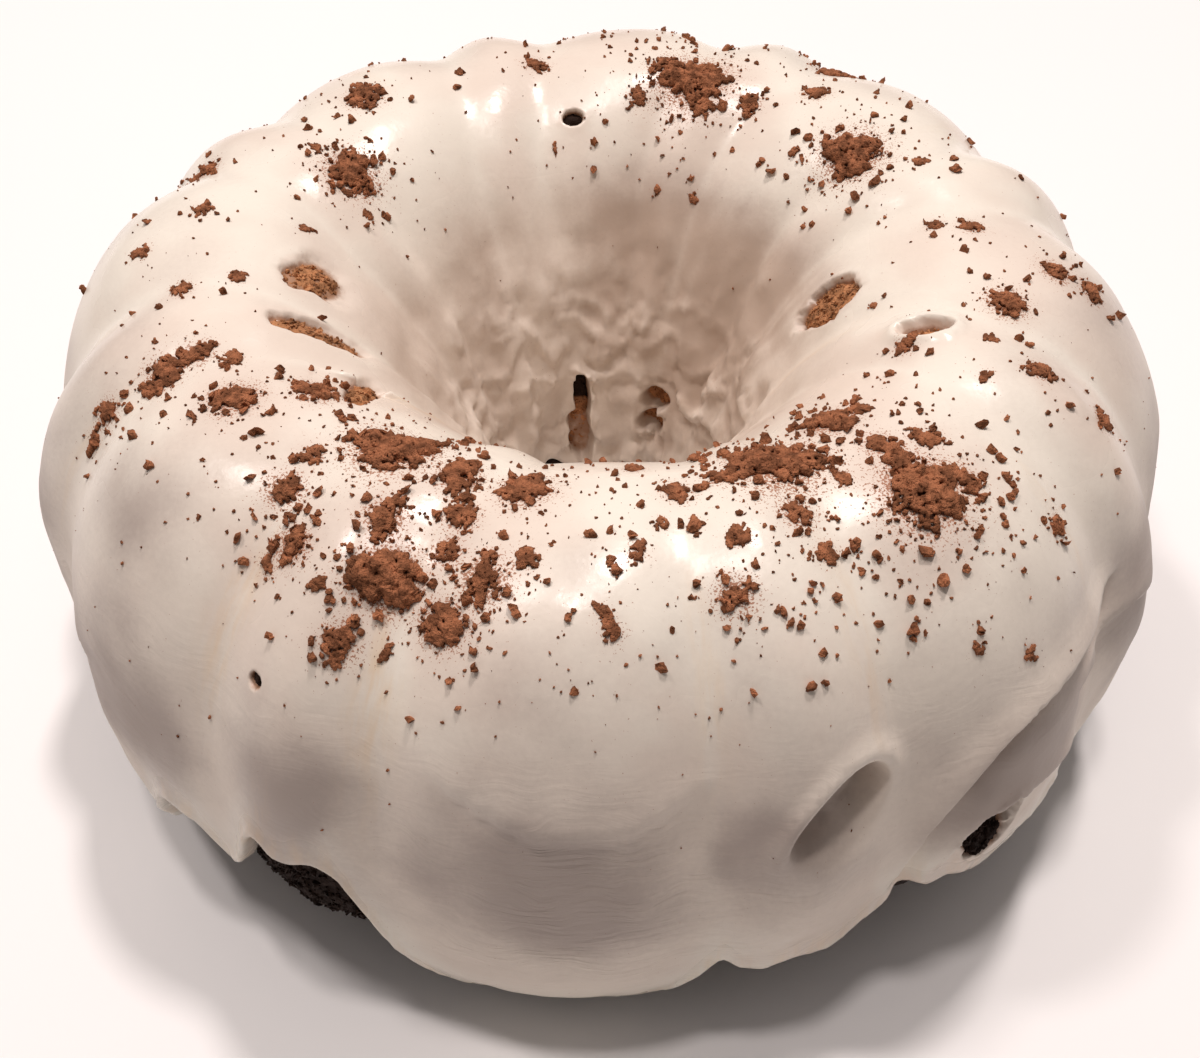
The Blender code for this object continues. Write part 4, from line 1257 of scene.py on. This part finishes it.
def icing_finish(finish, cocoa):
    """Poured icing: creamier where thick, greyer where thin, rougher on the wall, glossy on the crest, with
    painted shade on the wall and in the hole and a painted glow along the lower edge.
    """
    made, tree, shader = new_finish("poured_icing", IOR=1.46)
    spot = object_spot(tree)
    grain = fine_grain(tree, 0.0011, 0.017)
    bumpy = sum_of(tree, "SUBTRACT", grain["Height"], 0.5)
    patchy = sum_of(tree, "SUBTRACT", grain["Patches"], 0.5)
    cover = marked(tree, "cover")
    uneven = sum_of(tree, "MULTIPLY_ADD", patchy, 0.22, cover)
    color = mixed(tree, stepped(tree, uneven, 0.72, 1.15), finish.icing_thin, finish.icing_thick)
    # Painted shade: the wall and the hole tinted towards the thin icing's grey by this mark, the crest and
    # lower edge kept creamier.
    color = mixed(tree, sum_of(tree, "MULTIPLY", marked(tree, "satin"), 0.8), color, finish.icing_thin)
    shaded = mixed(tree, marked(tree, "inner"), finish.icing_sheer, finish.icing_hole_shade)
    lay = node(tree, "ShaderNodeUVMap", uv_map="round").outputs["UV"]
    sway = node(tree, "ShaderNodeCombineXYZ", {
        "Y": sum_of(tree, "MULTIPLY", spotted(tree, spot, 0.011, 1.0, 0.5), 0.0090)}).outputs[0]
    strokes = node(tree, "ShaderNodeMapping", {
        "Scale": (0.15, 1.0, 1.0), "Vector": vector_of(tree, "ADD", lay, sway)})
    wrinkle = spotted(tree, strokes.outputs["Vector"], 0.0014, 3.0, 0.6)
    wrinkle = sum_of(tree, "MULTIPLY", sum_of(tree, "SUBTRACT", wrinkle, 0.5), marked(tree, "brushed"))
    # Painted shade: this mark, with the wrinkles' hollows a little darker, mixes in the shaded tone; partly
    # it is the sponge showing through thin icing.
    veil_shade = sum_of(tree, "MULTIPLY_ADD", bumpy, 0.22, marked(tree, "sheer"))
    veil_shade = sum_of(tree, "MULTIPLY_ADD", wrinkle, -0.30, veil_shade)
    color = mixed(tree, sum_of(tree, "MULTIPLY", stepped(tree, veil_shade, -0.05, 1.0), 0.9), color, shaded)
    ragged = sum_of(tree, "MULTIPLY_ADD", bumpy, 0.35, cover)
    color = mixed(tree, stepped(tree, ragged, 0.08, 0.50), finish.icing_film, color)
    wisps = node(tree, "ShaderNodeMapping", {"Scale": (1.0, 0.16, 1.0), "Vector": lay})
    streaky = spotted(tree, wisps.outputs["Vector"], 0.0026, 3.0, 0.6)
    # The cocoa streaks, and the painted glow of bounced light along the lower edge.
    runs = sum_of(tree, "MULTIPLY", marked(tree, "streak"), stepped(tree, streaky, 0.36, 0.72))
    color = mixed(tree, sum_of(tree, "MULTIPLY", runs, 0.62), color, finish.streak)
    powder = place_group(
        tree, "Powder Film", powder_group, base=color, powder=cocoa, amount=marked(tree, "powder"),
        speck_size=0.00042)
    satin = sum_of(tree, "MULTIPLY_ADD", marked(tree, "satin"), 0.26, finish.icing_roughness)
    satin = sum_of(tree, "MULTIPLY_ADD", patchy, 0.07, satin)
    dry = sum_of(tree, "MULTIPLY_ADD", powder["Cover"], 0.55, satin)
    soft = spotted(tree, spot, 0.0034, 2.0, 0.5)
    height = sum_of(tree, "MULTIPLY_ADD", grain["Height"], 0.035, sum_of(tree, "MULTIPLY", wrinkle, 0.75))
    height = sum_of(tree, "MULTIPLY_ADD", soft, 0.16, height)
    surfaced(tree, shader, powder["Color"], dry, height, 0.0006)
    return made


def sponge_finish(finish):
    """Chocolate sponge: nearly black crust, browner crumb where the icing opens."""
    made, tree, shader = new_finish("chocolate_sponge", IOR=1.4, Specular_IOR_Level=0.16)
    grain = fine_grain(tree, 0.0009, 0.0035)
    light = [min(1.0, 1.9 * share) for share in finish.sponge_crumb]
    crumb = mixed(tree, grain["Patches"], finish.sponge_crumb, light)
    crumb = mixed(tree, sum_of(tree, "MULTIPLY", grain["Specks"], 0.6), crumb, finish.sponge_dark)
    crust = mixed(tree, sum_of(tree, "MULTIPLY", grain["Patches"], 0.5), finish.sponge_dark,
                  [2.2 * share for share in finish.sponge_dark])
    color = mixed(tree, stepped(tree, marked(tree, "opened"), 0.3, 0.8), crust, crumb)
    rough = sum_of(tree, "MULTIPLY_ADD", grain["Height"], 0.3, 0.62)
    surfaced(tree, shader, color, rough, grain["Height"], 0.0007)
    return made


def cocoa_finish(color, name, shade):
    """Dry cocoa: dull, gritty, darker and lighter by the grain."""
    made, tree, shader = new_finish(name, Specular_IOR_Level=0.15, IOR=1.4)
    grain = fine_grain(tree, 0.00042, 0.0022)
    dark = [share * shade * 0.60 for share in color]
    light = [min(1.0, share * shade * 1.45) for share in color]
    tone = mixed(tree, grain["Patches"], dark, light)
    specks = sum_of(tree, "MULTIPLY", grain["Specks"], 0.5)
    tone = mixed(tree, specks, tone, [share * 0.45 for share in dark])
    rough = sum_of(tree, "MULTIPLY_ADD", grain["Height"], 0.2, 0.8)
    surfaced(tree, shader, tone, rough, grain["Height"], 0.0008)
    return made


def floor_finish(color):
    """A pale matt floor with the faintest unevenness."""
    made, tree, shader = new_finish("pale_floor", Specular_IOR_Level=0.2)
    grain = fine_grain(tree, 0.004, 0.35)
    tone = mixed(tree, grain["Patches"], color, [share * 0.985 for share in color])
    seen = node(tree, "ShaderNodeLightPath").outputs["Is Camera Ray"]
    tone = mixed(tree, seen, [share * FLOOR_BOUNCE for share in color], tone)
    rough = sum_of(tree, "MULTIPLY_ADD", grain["Height"], 0.1, 0.6)
    surfaced(tree, shader, tone, rough, None, 0.0)
    return made


# ---------------------------------------------------------------- operators

def clear_away(*names):
    """Remove earlier pieces of these names."""
    for name in names:
        old = bpy.data.objects.get(name)
        if old:
            bpy.data.objects.remove(old, do_unlink=True)


def finish_piece(item, material, nodes=()):
    """Give a piece its material and its body, and hide the parts of the nodes that it stands for."""
    if material:
        item.data.materials.clear()
        item.data.materials.append(material)
    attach(item, "root")
    if nodes:
        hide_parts(*nodes)


def drop_marks(mesh, *kept):
    """Remove the vertex attributes that only served the making."""
    own = {"position", "sharp_face", "sharp_edge", "material_index", "round", *kept}
    for name in [layer.name for layer in mesh.attributes]:
        if name not in own and not name.startswith("."):
            mesh.attributes.remove(mesh.attributes[name])


class CAKE_OT_icing(bpy.types.Operator):
    """Pour the icing: the closed coat with its tongues, gaps, folds and dent"""

    bl_idname = "cake.icing"
    bl_label = "Pour Icing"

    def execute(self, context):
        scene = context.scene
        clear_away("icing_coat")
        coat = build_icing(CakeForm(scene.cake_sizes))
        finish_piece(coat, icing_finish(scene.cake_finish, scene.cocoa_sizes.color), ("icing",))
        return {"FINISHED"}


class CAKE_OT_sponge(bpy.types.Operator):
    """Bake the sponge: the fluted ring with its crumb, and loose crumbs in the gaps"""

    bl_idname = "cake.sponge"
    bl_label = "Bake Sponge"

    def execute(self, context):
        scene = context.scene
        clear_away("sponge_ring", "sponge_body", "sponge_crumbs")
        ring = build_sponge(CakeForm(scene.cake_sizes))
        finish = sponge_finish(scene.cake_finish)
        body = grown(ring, shared("Sponge Crumb", crumb_tree), {"Material": finish}, "sponge_body")
        body.data.shade_smooth()
        crumbs = grown(ring, shared("Scattered Grains", grain_tree), {
            "Density": 1300000.0, "Mask": "loose", "Smallest": 0.0004, "Largest": 0.0015, "Rarity": 2.0,
            "Lift": 0.10, "Raggedness": 0.30, "Detail": 1, "Seed": scene.cocoa_sizes.seed + 5,
            "Material": finish}, "sponge_crumbs")
        bpy.data.objects.remove(ring, do_unlink=True)
        drop_marks(body.data, "opened")
        drop_marks(crumbs.data, "opened")
        finish_piece(body, None, ("sponge",))
        finish_piece(crumbs, None)
        return {"FINISHED"}


class CAKE_OT_cocoa(bpy.types.Operator):
    """Strew the cocoa: clumps, loose crumbs and dust on the icing"""

    bl_idname = "cake.cocoa"
    bl_label = "Strew Cocoa"

    def execute(self, context):
        scene = context.scene
        sizes = scene.cocoa_sizes
        coat = bpy.data.objects.get("icing_coat")
        if not coat:
            raise RuntimeError("Pour the icing before strewing cocoa on it")
        clear_away("cocoa_clumps", "cocoa_crumbs", "cocoa_dust")
        form = CakeForm(scene.cake_sizes)
        spots, radii = lumps_of_clumps(form, np.random.default_rng(CLUMP_SEED))
        mesh = bpy.data.meshes.new("lumps")
        mesh.from_pydata(spots.tolist(), [], [])
        mark(mesh, lump_radius=radii)
        lumps = show("lumps", mesh)
        fine = cocoa_finish(sizes.color, "cocoa_powder", 1.0)
        dusty = cocoa_finish(sizes.color, "cocoa_dust", 0.85)
        clumps = grown(lumps, shared("Crumbly Clumps", clump_tree), {
            "Voxel": sizes.voxel, "Grit": 0.00024, "Grit Size": 0.0005, "Material": fine}, "cocoa_clumps")
        bpy.data.objects.remove(lumps, do_unlink=True)
        clumps.data.shade_smooth()
        host = bpy.data.objects.new("scatter_host", coat.data.copy())
        scene.collection.objects.link(host)
        grains = shared("Scattered Grains", grain_tree)
        crumbs = grown(host, grains, {
            "Density": sizes.crumb_density, "Mask": "crumbs", "Smallest": sizes.crumb_smallest,
            "Largest": sizes.crumb_largest, "Rarity": 3.2, "Lift": 0.18, "Raggedness": 0.42, "Detail": 2,
            "Seed": sizes.seed, "Material": fine}, "cocoa_crumbs")
        dust = grown(host, grains, {
            "Density": sizes.dust_density, "Mask": "dust", "Smallest": sizes.dust_smallest,
            "Largest": sizes.dust_largest, "Rarity": 2.2, "Lift": 0.2, "Raggedness": 0.3, "Detail": 1,
            "Seed": sizes.seed + 1, "Material": dusty}, "cocoa_dust")
        bpy.data.objects.remove(host, do_unlink=True)
        drop_marks(coat.data, "cover", "streak", "sheer", "inner", "powder", "satin", "brushed")
        for item in (clumps, crumbs, dust):
            drop_marks(item.data)
            finish_piece(item, None, HEAP_NODES if item is clumps else ())
        return {"FINISHED"}


class CAKE_OT_stage(bpy.types.Operator):
    """Set the stage: a pale floor, soft overhead light and the camera"""

    bl_idname = "cake.stage"
    bl_label = "Set Stage"

    def execute(self, context):
        scene = context.scene
        stage = scene.cake_stage
        clear_away("floor", "view_camera", *(row[0] for row in LAMPS))
        mesh = bpy.data.meshes.new("floor")
        shape = bmesh.new()
        bmesh.ops.create_grid(shape, x_segments=8, y_segments=8, size=FLOOR_HALF)
        shape.to_mesh(mesh)
        shape.free()
        mesh.transform(Matrix.Translation((0.0, 0.0, -FLOOR_DROP)))
        mesh.materials.append(floor_finish(stage.floor_color))
        show("floor", mesh)
        for name, spot, size, share in LAMPS:
            self.lamp(scene, name, spot, size, stage.key_power * share)
        self.sky(scene, stage)
        camera = bpy.data.cameras.new("view_camera")
        camera.lens = stage.lens
        camera.sensor_width = 36.0
        camera.clip_start = 0.01
        item = bpy.data.objects.new("view_camera", camera)
        scene.collection.objects.link(item)
        target = Vector((TARGET_SIDE, 0.0, stage.target_height))
        away = Vector((0.0, -math.cos(stage.elevation), math.sin(stage.elevation)))
        item.location = target + away * stage.distance
        item.rotation_euler = (-away).to_track_quat("-Z", "Y").to_euler()
        scene.camera = item
        scene.view_settings.view_transform = "Standard"
        return {"FINISHED"}

    @staticmethod
    def lamp(scene, name, spot, size, power):
        data = bpy.data.lights.new(name, "AREA")
        data.shape = "DISK"
        data.size = size
        data.energy = power
        data.color = LAMP_COLOR
        item = bpy.data.objects.new(name, data)
        item.location = spot
        item.rotation_euler = Vector(spot).to_track_quat("Z", "Y").to_euler()
        scene.collection.objects.link(item)

    @staticmethod
    def sky(scene, stage):
        """Light from above and behind, dim in front, and a pale background for the camera."""
        world = bpy.data.worlds.new("studio")
        world.use_nodes = True
        scene.world = world
        tree = world.node_tree
        tree.nodes.clear()
        above = node(tree, "ShaderNodeTexCoord").outputs["Generated"]
        split = node(tree, "ShaderNodeSeparateXYZ", {0: above}).outputs
        tilt = sum_of(tree, "MULTIPLY_ADD", split["Y"], 0.38, split["Z"])
        wide = sum_of(tree, "MULTIPLY_ADD", sum_of(tree, "ABSOLUTE", split["X"]), 0.25, tilt)
        color = mixed(tree, stepped(tree, wide, 0.15, 1.05), (0.10, 0.092, 0.090), LAMP_COLOR)
        soft = node(tree, "ShaderNodeBackground", {"Color": color, "Strength": stage.sky_strength})
        plain = node(tree, "ShaderNodeBackground", {"Color": (0.93, 0.89, 0.87)})
        seen = node(tree, "ShaderNodeLightPath").outputs["Is Camera Ray"]
        both = node(tree, "ShaderNodeMixShader", {0: seen, 1: soft.outputs[0], 2: plain.outputs[0]})
        node(tree, "ShaderNodeOutputWorld", {"Surface": both.outputs[0]})


class CAKE_PT_panel(bpy.types.Panel):
    """Sizes, colours and steps of the ring cake"""

    bl_idname = "CAKE_PT_panel"
    bl_label = "Iced Ring Cake"
    bl_space_type = "VIEW_3D"
    bl_region_type = "UI"
    bl_category = "Ring Cake"

    def draw(self, context):
        layout = self.layout
        layout.use_property_split = True
        for title, name, operator in (
            ("Icing", "cake_sizes", "cake.icing"), ("Finish", "cake_finish", "cake.sponge"),
            ("Cocoa", "cocoa_sizes", "cake.cocoa"), ("Stage", "cake_stage", "cake.stage"),
        ):
            group = getattr(context.scene, name)
            box = layout.box()
            box.label(text=title)
            for key in group.__annotations__:
                box.prop(group, key)
            box.operator(operator)


GROUPS = {
    "cake_sizes": CakeSizes, "cake_finish": CakeFinish, "cocoa_sizes": CocoaSizes, "cake_stage": StageSizes,
}
OTHERS = (CAKE_OT_icing, CAKE_OT_sponge, CAKE_OT_cocoa, CAKE_OT_stage, CAKE_PT_panel)


def register():
    for name, group in GROUPS.items():
        bpy.utils.register_class(group)
        setattr(bpy.types.Scene, name, PointerProperty(type=group))
    for item in OTHERS:
        bpy.utils.register_class(item)


def unregister():
    for item in reversed(OTHERS):
        bpy.utils.unregister_class(item)
    for name, group in GROUPS.items():
        delattr(bpy.types.Scene, name)
        bpy.utils.unregister_class(group)


def main():
    register()
    bpy.ops.cake.icing()
    bpy.ops.cake.sponge()
    bpy.ops.cake.cocoa()
    bpy.ops.cake.stage()
    bpy.context.view_layer.update()


if __name__ == "__main__":
    main()
